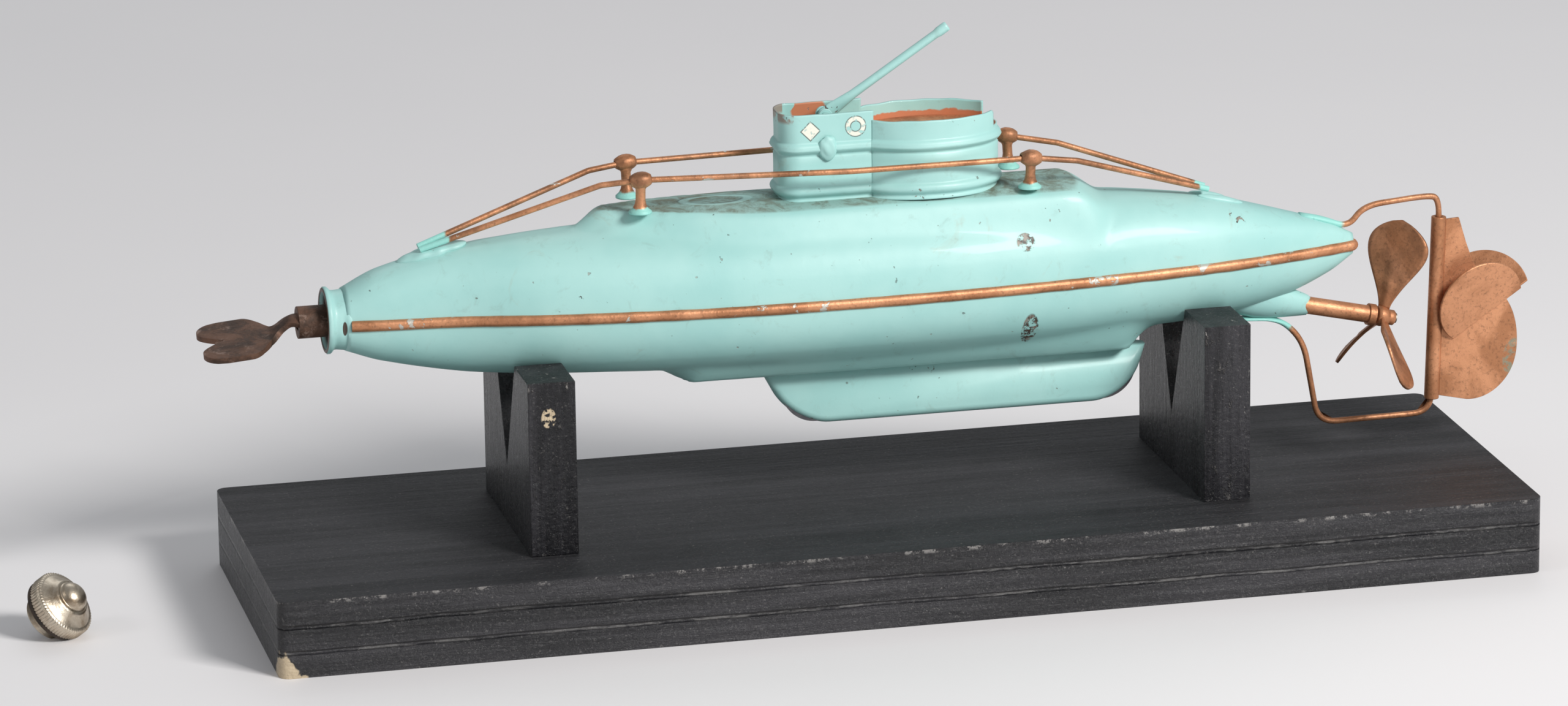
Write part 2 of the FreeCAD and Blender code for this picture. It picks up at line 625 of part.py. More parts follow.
def makePropeller():
    slope = math.radians(size("shaft_slope"))
    along = Vector(math.cos(slope), 0, -math.sin(slope))
    radius = size("shaft_radius")
    hub = Vector(size("hub_x"), 0, size("hub_z"))
    halfHub = along * (size("hub_long") / 2)
    front = shaftPoint(size("shaft_front_x"))
    shaft = rod(front + along * 2.5, hub + halfHub + along * 1.9, radius)
    tang = Part.makeBox(5.0, size("tang_wide"), size("tang_thick"),
                        Vector(-1.5, -size("tang_wide") / 2, -size("tang_thick") / 2))
    tang.Placement = Placement(front, Rotation(Vector(1, 0, 0), along))
    part("propeller_shaft", shaft.fuse(tang).removeSplitter())
    boss = rod(hub - halfHub, hub + halfHub, size("hub_radius"))
    boss = boss.makeFillet(0.7, boss.Edges)
    boss = boss.cut(rod(hub - along * 6, hub + along * 6, radius))
    part("propeller_hub", boss)
    blades = []
    long, wide = size("blade_long"), size("blade_wide")
    for turn in (0, 120, 240):
        outline = Part.BSplineCurve()
        outline.interpolate([Vector(-1.5, 0, 1.0), Vector(-wide * 0.36, 0, long * 0.45),
                             Vector(-wide * 0.48, 0, long * 0.72), Vector(-wide * 0.22, 0, long * 0.96),
                             Vector(0, 0, long + 1.0), Vector(wide * 0.22, 0, long * 0.96),
                             Vector(wide * 0.48, 0, long * 0.72), Vector(wide * 0.36, 0, long * 0.45),
                             Vector(1.5, 0, 1.0)])
        closed = Part.Wire([outline.toShape(), Part.makeLine(Vector(1.5, 0, 1.0), Vector(-1.5, 0, 1.0))])
        blade = Part.Face(closed).extrude(Vector(0, size("blade_thick"), 0))
        blade.translate(Vector(0, -size("blade_thick") / 2, 0))
        blade.rotate(Vector(), Vector(0, 0, 1), size("blade_pitch") - 90)
        blade.rotate(Vector(), Vector(1, 0, 0), turn - size("blade_turn"))
        blade.Placement = Placement(hub, Rotation(Vector(1, 0, 0), along)).multiply(blade.Placement)
        blades.append(blade.cut(rod(hub - along * 9, hub + along * 9, size("hub_radius"))))
    part("propeller_blades", Part.makeCompound([blade.Solids[0] for blade in blades]))
    nut = rod(hub + halfHub, hub + halfHub + along * 1.6, size("nut_radius"))
    part("propeller_nut", nut.cut(rod(hub, hub + along * 9, radius)))


def makeSternTube(hull, wire):
    outerTube = shaftRod(size("stern_tube_front"), size("stern_tube_back"), size("stern_tube_radius"))
    bell = shaftRod(size("stern_tube_back") - size("bell_long"), size("stern_tube_back"),
                    size("stern_tube_radius") + size("bell_step"))
    bore = shaftRod(size("stern_tube_front") - 2, size("stern_tube_back") + 2,
                    size("shaft_radius") + size("stern_tube_gap"))
    part("stern_tube", outerTube.fuse(bell).cut(bore).removeSplitter())
    seat = shaftPoint(size("tube_solder_x") - 12)
    tip = shaftPoint(size("tube_solder_x") + 4)
    fillet = Part.makeCone(size("tube_solder_radius"), size("stern_tube_radius") + 0.3,
                           (tip - seat).Length, seat, tip - seat)
    fillet = fillet.cut(shaftRod(80, 125, size("stern_tube_radius"))).cut(hull).cut(wire)
    part("stern_tube_solder", max(fillet.Solids, key=lambda solid: solid.Volume))


def rudderSpot(out, rise):
    """A point by the rudder's axis: a share of its reach out, and of its height."""
    top, foot = rudderAxis()
    return foot + (top - foot) * rise + Vector(out * size("rudder_reach"), 0, 0)


def makeRudder(hull):
    top, foot = rudderAxis()
    up = (top - foot).normalize()
    radius = size("wire_radius")
    tube = rod(foot, top, size("rudder_tube_radius"))
    tube = tube.cut(rod(foot - up, top + up, radius + size("hinge_gap")))
    part("rudder_tube", tube)
    seam = size("rudder_seam") / size("rudder_reach")
    neck = [rudderSpot(seam, 0.982), rudderSpot(0.238, 0.987), rudderSpot(0.335, 0.849)]
    round = [rudderSpot(0.440, 0.725), rudderSpot(0.684, 0.614), rudderSpot(0.907, 0.476),
             rudderSpot(1.000, 0.296), rudderSpot(0.951, 0.138), rudderSpot(0.756, 0.023),
             rudderSpot(0.419, -0.020)]
    low = rudderSpot(seam, 0.018)
    half = size("rudder_thick") / 2
    curve = Part.BSplineCurve()
    curve.interpolate(round)
    edges = [Part.makeLine(neck[0], neck[1]), Part.makeLine(neck[1], neck[2]),
             Part.makeLine(neck[2], round[0]), curve.toShape(),
             Part.makeLine(round[-1], low), Part.makeLine(low, neck[0])]
    sheetPlate = Part.Face(Part.Wire(edges)).extrude(Vector(0, 2 * half, 0))
    sheetPlate.translate(Vector(0, -half, 0))
    part("rudder_plate", sheetPlate.cut(rod(foot - up, top + up, size("rudder_tube_radius"))))
    makePlanes(half)
    return makeRudderWires(hull, top, foot, up)


def makeRudderWires(hull, top, foot, up):
    """Two bent wires, soldered to the hull, whose ends are the rudder's pins."""
    radius, bend = size("wire_radius"), size("rudder_wire_bend")
    back, seam = size("hull_back"), size("seam_height")
    pinLong = size("pin_long")
    upper = [Vector(back - 4.1, 0, seam + 3.9), Vector(back - 1.3, 0, seam + 4.1),
             Vector(back + 3.3, 0, top.z + 3.9), top + up * 4.9, top - up * pinLong]
    part("rudder_wire_upper", bentWire(upper, radius, bend).cut(hull))
    under = seam - size("hull_drop")
    kneeX = size("wire_foot_x")
    lower = [Vector(kneeX - 14.9, 0, under + 1.1), Vector(kneeX - 7.8, 0, under + 0.1),
             Vector(kneeX - 2.8, 0, under - 6.8), Vector(kneeX, 0, foot.z - 3.7),
             foot - up * 3.8, foot + up * pinLong]
    long, wide, thick = size("wire_tab_long"), size("wire_tab_wide"), size("wire_tab_thick")
    tab = Part.makeBox(long, wide, thick, Vector(lower[0].x - long / 2 - 0.5, -wide / 2, under + 0.7))
    tab.rotate(lower[0], Vector(0, 1, 0), 6)
    lowerWire = bentWire(lower, radius, bend).fuse(tab)
    part("rudder_wire_lower", lowerWire.cut(hull).removeSplitter())
    return lowerWire


def makePlanes(half):
    """Two disc segments soldered along a rising line, one on each face."""
    low, high = rudderSpot(0.251, 0.337), rudderSpot(0.974, 0.568)
    chord = high - low
    rise = math.degrees(math.atan2(chord.z, chord.x))
    radius, offset = size("plane_radius"), size("plane_offset")
    disc = Part.makeCylinder(radius, size("plane_thick"), Vector(0, 0, offset), Vector(0, 1, 0))
    flat = Part.makeBox(6 * radius, 10, 4 * radius, Vector(-3 * radius, -5, 0))
    segment = disc.common(flat)
    seat = half + 0.02
    away = Part.makeBox(8 * radius, 2 * half, 8 * radius, low - Vector(4 * radius, half, 4 * radius))
    rows = (("left", 1, size("far_splay"), size("far_slide")), ("right", -1, size("plane_splay"), 0))
    for label, side, splay, slide in rows:
        plane = segment.copy()
        if side < 0:
            plane.translate(Vector(0, -size("plane_thick"), 0))
        plane.translate(Vector(slide, 0, 0))
        plane.rotate(Vector(), Vector(1, 0, 0), -side * splay)
        plane.rotate(Vector(), Vector(0, 1, 0), -rise)
        plane.translate((low + high) * 0.5 + Vector(0, side * seat, 0))
        part("diving_plane_" + label, plane.cut(away))


# ---------------------------------------------------------------- key and cap

def squareBar(front, long, side):
    half = side / 2
    return Part.makeBox(long, side, side, Vector(front, -half, size("seam_height") - half))


def makeKey():
    """The winding key: a square-holed tube and a fishtail plate on a low tongue."""
    seam, radius, long = size("seam_height"), size("key_radius"), size("key_long")
    front = size("key_front")
    tube = Part.makeCylinder(radius, long, Vector(front, 0, seam), Vector(1, 0, 0))
    hole = squareBar(front - 1, long + 2, size("square_side") + 2 * size("square_gap"))
    part("key_tube", tube.cut(hole))
    half, thick = size("key_half_width"), size("key_plate_thick")
    neckHalf, neckFront = size("key_neck_half"), front - size("key_neck_long")
    reach = size("key_plate_long")
    far = front - reach
    lobe = Part.BSplineCurve()
    lobe.interpolate([Vector(neckFront, neckHalf, 0), Vector(front - reach * 0.34, half * 0.48, 0),
                      Vector(front - reach * 0.55, half * 0.90, 0), Vector(front - reach * 0.77, half, 0),
                      Vector(far + 0.6, half * 0.85, 0), Vector(far + 0.6, half * 0.54, 0),
                      Vector(far + 4.2, half * 0.17, 0), Vector(far + 5.4, 0, 0)])
    lobeEdge = lobe.toShape()
    mirror = FreeCAD.Matrix()
    mirror.scale(1, -1, 1)
    edges = [lobeEdge, lobeEdge.transformGeometry(mirror),
             Part.makeLine(Vector(front, -neckHalf, 0), Vector(front, neckHalf, 0)),
             Part.makeLine(Vector(front, neckHalf, 0), Vector(neckFront, neckHalf, 0)),
             Part.makeLine(Vector(neckFront, -neckHalf, 0), Vector(front, -neckHalf, 0))]
    outline = Part.Wire(Part.sortEdges(edges)[0])
    plate = Part.Face(outline).extrude(Vector(0, 0, thick))
    tongueHalf = neckHalf - 0.3
    tongue = Part.makeBox(size("key_tongue"), 2 * tongueHalf, thick, Vector(front, -tongueHalf, 0))
    plate = plate.fuse(tongue)
    plate.translate(Vector(0, 0, -thick / 2))
    plate.rotate(Vector(), Vector(1, 0, 0), size("key_tilt"))
    plate.translate(Vector(0, 0, seam - size("key_drop")))
    neck = plate.cut(Part.makeCylinder(radius, long, Vector(front, 0, seam), Vector(1, 0, 0)))
    part("key_plate", max(neck.Solids, key=lambda solid: solid.Volume).removeSplitter())


def capPlacement():
    """The cap lies on its rim on the floor, nose up towards one side."""
    radius = size("cap_radius")
    tip = math.radians(size("cap_tip"))
    lift = radius * math.sin(tip)
    turn = Rotation(Vector(0, 0, 1), size("cap_turn")).multiply(
        Rotation(Vector(0, 1, 0), size("cap_tip")))
    return Placement(Vector(size("cap_x"), 0, lift), turn)


def makeCap():
    radius, band = size("cap_radius"), size("cap_band")
    cone, dome = size("cap_cone"), size("cap_dome")
    profile = [Vector(0, 0, 0), Vector(radius, 0, 0), Vector(radius, 0, band),
               Vector(dome + 1.0, 0, band + cone), Vector(0, 0, band + cone)]
    turned = polygonFace(profile).revolve(Vector(), Vector(0, 0, 1), 360)
    ball = Part.makeSphere(dome, Vector(0, 0, band + cone - 1.0))
    thread = Part.makeCylinder(size("cap_thread"), size("cap_thread_long"),
                               Vector(0, 0, -size("cap_thread_long")))
    hollow = Part.makeCylinder(size("cap_thread") - 0.8, size("cap_thread_long") + band * 0.6,
                               Vector(0, 0, -size("cap_thread_long")))
    cap = turned.fuse([ball.common(slab(band, 40)), thread]).cut(hollow).removeSplitter()
    ring = Part.makeCylinder(size("rim_radius"), 0.9, Vector(0, 0, -0.9))
    ring = ring.cut(Part.makeCylinder(size("cap_thread"), 2, Vector(0, 0, -1.5)))
    place = capPlacement()
    part("nose_cap", cap, place)
    part("cap_washer", ring, place)


# ---------------------------------------------------------------- clockwork

def toothedDisc(module, teeth, thick, x, y, z, toothShare, phase, addendum):
    """A gear about an axis along X, made of straight-flanked teeth."""
    teeth = int(round(teeth))
    pitch = module * teeth / 2
    tip = pitch + addendum * module
    root = pitch - 1.25 * module
    step = 2 * math.pi / teeth
    points = []
    for tooth in range(teeth):
        middle = phase + tooth * step
        rootHalf = step * toothShare * 0.62
        pitchHalf = step * toothShare * 0.5
        tipHalf = step * toothShare * 0.2
        for radius, half in ((root, -rootHalf), (pitch, -pitchHalf), (tip, -tipHalf),
                             (tip, tipHalf), (pitch, pitchHalf), (root, rootHalf)):
            angle = middle + half
            points.append(Vector(x, y + radius * math.cos(angle), z + radius * math.sin(angle)))
    return polygonFace(points).extrude(Vector(thick, 0, 0))


def trainCentres():
    """Axis positions (y, z) of the great, second, third and drive arbors."""
    seam = size("seam_height")
    first = size("great_module") * (size("great_teeth") + size("second_leaves")) / 2
    later = size("train_module") * (size("wheel_teeth") + size("leaf_count")) / 2
    side = math.sqrt(later * later - first * first / 4)
    return (0, seam), (0, seam + first), (side, seam + first / 2), (0, seam)


def alongX(front, long, radius, centre):
    return Part.makeCylinder(radius, long, Vector(front, centre[0], centre[1]), Vector(1, 0, 0))


def makeMovement():
    great, second, third, drive = trainCentres()
    gap = size("pivot_gap")
    staff, pivot = size("staff_radius"), size("pivot_radius")
    plateThick = size("plate_thick")
    frontX, middleX, rearX = size("front_plate_x"), size("middle_plate_x"), size("rear_plate_x")
    holes = {
        "front_movement_plate": (frontX, [(great, size("arbor_radius")), (second, pivot)]),
        "middle_movement_plate": (middleX, [(great, 1.0), (second, staff), (third, pivot)]),
        "rear_movement_plate": (rearX, [(second, pivot), (third, pivot), (drive, 1.0)]),
    }
    pillarSpots = []
    for angle in (-30, 210, 270):
        reach = size("pillar_circle")
        pillarSpots.append((reach * math.cos(math.radians(angle)),
                            size("seam_height") + reach * math.sin(math.radians(angle))))
    for label, (x, spots) in holes.items():
        plate = alongX(x, plateThick, size("plate_radius"), great)
        for centre, radius in spots:
            plate = plate.cut(alongX(x - 1, plateThick + 2, radius + gap, centre))
        for spot in pillarSpots:
            plate = plate.cut(alongX(x - 1, plateThick + 2, size("pillar_pin"), spot))
        part(label, plate)
    pillars = []
    for spot in pillarSpots:
        core = alongX(frontX - 0.6, rearX + plateThick + 1.2 - frontX, size("pillar_pin"), spot)
        fore = alongX(frontX + plateThick, middleX - frontX - plateThick, size("pillar_radius"), spot)
        aft = alongX(middleX + plateThick, rearX - middleX - plateThick, size("pillar_radius"), spot)
        pillars.append(core.fuse([fore, aft]).removeSplitter())
    part("plate_pillars", Part.makeCompound(pillars))
    makeFeet(pillarSpots)
    makeWinding(great)
    makeTrain(great, second, third, drive)


def makeFeet(pillarSpots):
    """Sheet brackets that tie the front and rear plates to the lower hull."""
    feet = []
    thick = size("foot_plate_thick")
    clear = size("tin") + 0.02
    inner = hullForm(-clear).fuse(padForm(clear))
    low = size("seam_height") - size("hull_drop") - 0.8
    for x in (size("front_plate_x") - thick, size("rear_plate_x") + size("plate_thick")):
        tab = Part.makeBox(thick, 10.0, 9.0, Vector(x, -5.0, low))
        hole = Part.makeCylinder(size("pillar_pin") + 0.2, 4, Vector(x - 1, 0, pillarSpots[2][1]),
                                 Vector(1, 0, 0))
        feet.append(tab.common(inner).cut(hole))
    part("movement_feet", Part.makeCompound([foot.Solids[0] for foot in feet]))


def makeWinding(great):
    """The winding arbor with its ratchet, and the great wheel that the click drives."""
    radius, middleX = size("arbor_radius"), size("middle_plate_x")
    squareBack = size("square_front") + size("square_long")
    shaft = alongX(squareBack, middleX - 0.3 - squareBack, radius, great)
    pivot = alongX(middleX - 0.3, size("plate_thick") + 0.3, 1.0, great)
    bar = squareBar(size("square_front"), size("square_long"), size("square_side"))
    bar = bar.common(alongX(size("square_front"), size("square_long"), 2.05, great))
    part("winding_arbor", shaft.fuse([pivot, bar]).removeSplitter())
    thick = size("click_thick")
    greatX = middleX - 1.0 - size("wheel_thick")
    ratchetX = greatX - thick - 0.4
    teeth = int(size("ratchet_teeth"))
    outer, inner = size("ratchet_radius"), size("ratchet_radius") - 0.9
    step = 2 * math.pi / teeth
    points = []
    for tooth in range(teeth):
        for reach, turn in ((outer, tooth * step), (inner, (tooth + 0.02) * step)):
            points.append(Vector(ratchetX, reach * math.cos(turn), great[1] + reach * math.sin(turn)))
    ratchet = polygonFace(points).extrude(Vector(thick, 0, 0))
    part("ratchet_wheel", ratchet.cut(alongX(ratchetX - 1, 4, radius, great)))
    # the click lies just outside a tooth and turns on a stud on the great wheel
    studRadius = size("stud_radius")
    stud = Vector(ratchetX, size("click_y"), great[1] - size("click_drop"))
    click = polygonFace([stud + Vector(0, -0.9, 0), stud + Vector(0, 0.9, 0),
                         Vector(ratchetX, outer + 0.75, great[1] - 0.35),
                         Vector(ratchetX, outer - 0.25, great[1] - 0.3)]).extrude(Vector(thick, 0, 0))
    click = click.fuse(Part.makeCylinder(2 * studRadius + 0.1, thick, stud, Vector(1, 0, 0)))
    hole = Part.makeCylinder(studRadius + size("pivot_gap"), thick, stud, Vector(1, 0, 0))
    part("click", click.cut(hole).removeSplitter())
    wheel = toothedDisc(size("great_module"), size("great_teeth"), size("wheel_thick"), greatX,
                        great[0], great[1], 0.42, math.pi / 2, 0.9)
    wheel = wheel.cut(alongX(greatX - 1, 4, radius + size("pivot_gap"), great))
    pin = Part.makeCylinder(studRadius, greatX - ratchetX, stud, Vector(1, 0, 0))
    part("great_wheel", wheel.fuse(pin).removeSplitter())
    springFoot = Vector(ratchetX + 0.2, 2 * size("click_y"), great[1] - size("click_drop") / 2)
    springTip = Vector(springFoot.x, outer + 2.5, great[1] + 0.3)
    clickSpring = bentWire([springFoot + Vector(thick + 0.2, 0, 0), springFoot, springTip], 0.2, 0.5)
    part("click_spring", clickSpring)
    makeMainspring(great)


def makeMainspring(great):
    """A spiral ribbon round the winding arbor, its outer end at a pillar."""
    inner = size("arbor_radius") + 0.8
    outer = size("spring_outer")
    turns = size("spring_turns")
    half = size("spring_thick") / 2
    front = size("front_plate_x") + size("plate_thick") + 1.2
    steps = int(turns * 12)

    def spiral(offset):
        points = []
        for step in range(steps + 1):
            share = step / steps
            angle = math.radians(-30) - 2 * math.pi * turns * (1 - share)
            reach = inner + (outer - inner) * share + offset
            points.append(Vector(front, great[0] + reach * math.cos(angle),
                                 great[1] + reach * math.sin(angle)))
        curve = Part.BSplineCurve()
        curve.interpolate(points)
        return curve.toShape(), points

    inside, innerPoints = spiral(-half)
    outside, outerPoints = spiral(half)
    ribbon = Part.Wire([inside, Part.makeLine(innerPoints[-1], outerPoints[-1]), outside,
                        Part.makeLine(outerPoints[0], innerPoints[0])])
    part("mainspring", Part.Face(ribbon).extrude(Vector(size("spring_wide"), 0, 0)))


def makeTrain(great, second, third, drive):
    thick = size("wheel_thick")
    plate = size("plate_thick")
    frontX, middleX, rearX = size("front_plate_x"), size("middle_plate_x"), size("rear_plate_x")
    module = size("train_module")
    greatX = middleX - 1.0 - thick
    secondWheelX = middleX + plate + 2.2
    thirdWheelX = secondWheelX + thick + 2.0
    staff = size("staff_radius")
    leaves = size("leaf_count")
    pivot = size("pivot_radius")

    def between(one, other):
        return math.atan2(other[1] - one[1], other[0] - one[0])

    def meshing(one, other, teethOne, teethOther, phaseOne):
        """Phase that puts a gap of the other gear on the line of centres."""
        toOther = between(one, other)
        stepOne, stepOther = 2 * math.pi / teethOne, 2 * math.pi / teethOther
        lead = ((toOther - phaseOne) / stepOne) % 1.0
        return toOther + math.pi + stepOther * (0.5 + lead)

    greatTeeth, secondLeaves = size("great_teeth"), size("second_leaves")
    phaseSecond = meshing(great, second, greatTeeth, secondLeaves, math.pi / 2)
    pinion = toothedDisc(size("great_module"), secondLeaves, thick + 1.0, greatX - 0.5, second[0],
                         second[1], 0.40, phaseSecond, 0.6)
    rodSecond = alongX(greatX - 0.5, rearX - 0.3 - greatX + 0.5, staff, second)
    spindle = alongX(frontX, rearX + plate - frontX, pivot, second)
    part("second_pinion", pinion.fuse([rodSecond, spindle]).removeSplitter())
    wheelTeeth = size("wheel_teeth")
    wheelSecond = toothedDisc(module, wheelTeeth, thick, secondWheelX, second[0], second[1], 0.42,
                              phaseSecond, 0.9)
    part("second_wheel", wheelSecond.cut(alongX(secondWheelX - 1, 4, staff, second)))
    phaseThird = meshing(second, third, wheelTeeth, leaves, phaseSecond)
    pinion = toothedDisc(module, leaves, thick + 0.8, secondWheelX - 0.4, third[0], third[1], 0.40,
                         phaseThird, 0.6)
    rodThird = alongX(middleX + plate + 0.3, rearX - 0.6 - middleX - plate, staff, third)
    spindle = alongX(middleX, rearX + plate - middleX, pivot, third)
    part("third_pinion", pinion.fuse([rodThird, spindle]).removeSplitter())
    wheelThird = toothedDisc(module, wheelTeeth, thick, thirdWheelX, third[0], third[1], 0.42,
                             phaseThird, 0.9)
    part("third_wheel", wheelThird.cut(alongX(thirdWheelX - 1, 4, staff, third)))
    phaseDrive = meshing(third, drive, wheelTeeth, leaves, phaseThird)
    pinion = toothedDisc(module, leaves, thick + 0.8, thirdWheelX - 0.4, drive[0], drive[1], 0.40,
                         phaseDrive, 0.6)
    endX = size("shaft_front_x") - size("fork_long") + 1.0
    arbor = alongX(middleX + plate + 0.4, endX - middleX - plate - 0.4 + 1.5, 1.0, drive)
    part("drive_arbor", arbor.fuse(pinion).removeSplitter())
    cup = alongX(endX, size("fork_long"), size("fork_radius"), drive)
    cup = cup.cut(alongX(endX - 1, 2.5, 1.0, drive))
    slot = Part.makeBox(10, 2 * size("fork_radius") + 2, size("fork_slot"),
                        Vector(endX + 2.2, -size("fork_radius") - 1, drive[1] - size("fork_slot") / 2))
    part("drive_fork", cup.cut(slot))


# ---------------------------------------------------------------- build and write

def build():
    makeScrews()
    makeBoard()
    hull = makeHull()
    makePost("front_post", "front_post_x", "front_post_tall", hull)
    makePost("rear_post", "rear_post_x", "rear_post_tall", hull)
    makeCollar()
    makeKeel(hull)
    makeTower()
    makeMast()
    deck = hull.fuse(casingForm(0))
    makeRails(deck)
    makePropeller()
    lowerWire = makeRudder(hull)
    makeSternTube(hull, lowerWire)
    makeKey()
    makeCap()
    makeMovement()


def check():
    doc.recompute()
    for item in doc.Objects:
        if "Invalid" in item.State or "Error" in item.State:
            raise RuntimeError("failed object: " + item.Label)
    for item in subParts:
        if item.Shape.isNull() or not item.Shape.isValid() or not item.Shape.Solids:
            raise RuntimeError("bad shape: " + item.Label)


def write():
    os.makedirs("parts", exist_ok=True)
    for item in subParts:
        item.Shape.exportStep("parts/%s.step" % item.Label)


build()
check()
write()
for item in subParts:
    print("%-26s %2d solids %9.1f mm3" % (item.Label, len(item.Shape.Solids), item.Shape.Volume))
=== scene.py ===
import json
import math

import bmesh
import bpy
from mathutils import Matrix, Vector, noise


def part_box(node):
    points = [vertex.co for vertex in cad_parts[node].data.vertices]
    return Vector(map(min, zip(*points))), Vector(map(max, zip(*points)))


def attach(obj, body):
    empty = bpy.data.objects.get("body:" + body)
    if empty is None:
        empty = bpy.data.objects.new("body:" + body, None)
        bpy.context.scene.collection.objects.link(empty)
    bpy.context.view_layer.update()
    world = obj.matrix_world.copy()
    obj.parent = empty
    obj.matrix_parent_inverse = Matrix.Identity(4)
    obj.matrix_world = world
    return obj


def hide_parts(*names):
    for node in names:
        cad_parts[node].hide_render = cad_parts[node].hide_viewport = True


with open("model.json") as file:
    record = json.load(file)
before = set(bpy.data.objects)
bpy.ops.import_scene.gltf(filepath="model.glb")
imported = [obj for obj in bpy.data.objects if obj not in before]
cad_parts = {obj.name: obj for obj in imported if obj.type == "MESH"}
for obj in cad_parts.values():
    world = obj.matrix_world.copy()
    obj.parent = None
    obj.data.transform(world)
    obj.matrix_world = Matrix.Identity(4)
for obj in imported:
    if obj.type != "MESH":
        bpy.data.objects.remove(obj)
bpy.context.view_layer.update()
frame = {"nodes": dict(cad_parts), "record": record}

mm = 0.001  # sizes below are in millimetres unless a name says otherwise


def smoothStep(value):
    value = min(max(value, 0.0), 1.0)
    return value * value * (3 - 2 * value)


def steady(x, y, z, size):
    return noise.noise(Vector((x, y, z)) / size)


# the camera stands a little ahead of the bow, above deck height
cameraLook = {"place": (-0.37244, -1.53421, 0.50069), "forward": (0.21463, 0.93769, -0.27327),
              "roll": -0.0139, "lens": 162.73}


def makeCamera(look):
    data = bpy.data.cameras.new("camera")
    data.lens = look["lens"]
    data.sensor_width = 36
    data.clip_start = 0.05
    camera = bpy.data.objects.new("camera", data)
    bpy.context.collection.objects.link(camera)
    forward = Vector(look["forward"]).normalized()
    level = forward.cross(Vector((0, 0, 1))).normalized()
    right = (level + level.cross(forward) * look["roll"]).normalized()
    turn = Matrix((right, right.cross(forward), -forward)).transposed()
    camera.matrix_world = Matrix.Translation(look["place"]) @ turn.to_4x4()
    bpy.context.scene.camera = camera


makeCamera(cameraLook)
print("camera placed")


# ---- shader maths

class Wire:
    def __init__(self, tree, socket):
        self.tree = tree
        self.socket = socket

    def node(self, kind, settings, values, out=0):
        made = self.tree.nodes.new(kind)
        for name, setting in settings.items():
            setattr(made, name, setting)
        for name, value in values.items():
            if isinstance(value, Wire):
                self.tree.links.new(value.socket, made.inputs[name])
            else:
                made.inputs[name].default_value = value
        return Wire(self.tree, made.outputs[out])

    def maths(self, operation, first, second=0.0):
        return self.node("ShaderNodeMath", {"operation": operation}, {0: first, 1: second})

    def __abs__(self):
        return self.maths("ABSOLUTE", self)

    def root(self):
        return self.maths("SQRT", self)

    def most(self, other):
        return self.maths("MAXIMUM", self, other)

    def fade(self, low, high):
        return self.node("ShaderNodeMapRange", {"interpolation_type": "SMOOTHSTEP"},
                         {"Value": self, "From Min": low, "From Max": high})

    def noise(self, scale, detail=4.0, rough=0.55, warp=0.0, stretch=(1, 1, 1), shift=(0, 0, 0)):
        moved = self.node("ShaderNodeMapping", {}, {"Vector": self, "Scale": stretch, "Location": shift})
        return self.node("ShaderNodeTexNoise", {}, {"Vector": moved, "Scale": scale, "Detail": detail,
                                                    "Roughness": rough, "Distortion": warp})

    def mix(self, first, second):
        return self.node("ShaderNodeMix", {"data_type": "RGBA"}, {0: self, 6: first, 7: second}, 2)


for sign, operation in (("add", "ADD"), ("sub", "SUBTRACT"), ("mul", "MULTIPLY"), ("gt", "GREATER_THAN"),
                        ("lt", "LESS_THAN")):
    setattr(Wire, "__%s__" % sign, lambda self, other, kind=operation: self.maths(kind, self, other))
for sign, operation in (("radd", "ADD"), ("rsub", "SUBTRACT"), ("rmul", "MULTIPLY")):
    setattr(Wire, "__%s__" % sign, lambda self, other, kind=operation: self.maths(kind, other, self))


def startPaint(name):
    material = bpy.data.materials.new(name)
    material.use_nodes = True
    tree = material.node_tree
    place = tree.nodes.new("ShaderNodeTexCoord").outputs["Object"]
    return material, Wire(tree, place)


def finishPaint(material, place, colour, rough, metal=0.0, bump=None, height=0.0002, coat=0.0):
    shader = material.node_tree.nodes["Principled BSDF"]
    values = {"Base Color": colour, "Roughness": rough, "Metallic": metal, "Coat Weight": coat}
    for name, value in values.items():
        if isinstance(value, Wire):
            material.node_tree.links.new(value.socket, shader.inputs[name])
        else:
            shader.inputs[name].default_value = value
    if bump is not None:
        normal = place.node("ShaderNodeBump", {}, {"Height": bump, "Strength": 1.0, "Distance": height})
        material.node_tree.links.new(normal.socket, shader.inputs["Normal"])
    return material


def axes(place):
    split = place.tree.nodes.new("ShaderNodeSeparateXYZ")
    place.tree.links.new(place.socket, split.inputs[0])
    return [Wire(place.tree, out) for out in split.outputs]


def facing(place):
    # how far the surface looks up (1) or down (-1)
    surface = place.tree.nodes.new("ShaderNodeNewGeometry")
    return axes(Wire(place.tree, surface.outputs["Normal"]))[2]


tealLook = {"paint": (0.325, 0.600, 0.575, 1), "pale": (0.385, 0.655, 0.625, 1),
            "shade": (0.21, 0.43, 0.41, 1), "grime": (0.140, 0.150, 0.105, 1),
            "stain": (0.34, 0.27, 0.15, 1), "bare": (0.060, 0.042, 0.030, 1), "steel": (0.30, 0.27, 0.23, 1),
            "white": (0.80, 0.80, 0.70, 1), "rust": (0.075, 0.036, 0.020, 1),
            "copper": (0.56, 0.20, 0.10, 1), "rough": 0.46, "deck": 0.0893, "seam": 0.0695,
            "diamond": (-0.0158, 0.1074), "ring": (-0.0052, 0.1079), "ringRadius": 0.0018,
            "oval": (-0.0370, 0.0085, 0.0042)}


def chipMask(place, scale, level, shift):
    broad = place.noise(scale * 0.22, 2.0, 0.5, shift=shift)
    fine = place.noise(scale, 5.0, 0.65, 0.4, shift=shift)
    return (fine + broad * 0.9).fade(level, level + 0.012)


def ovalReach(across, up, wide, tall):
    # nought at the middle of an oval and one on its edge
    across, up = across * (1 / wide), up * (1 / tall)
    return across * across + up * up


def spot(across, up, wide, tall):
    # a soft-edged oval, one at its middle and nought outside
    return 1 - ovalReach(across, up, wide, tall).fade(0.8, 1.1)


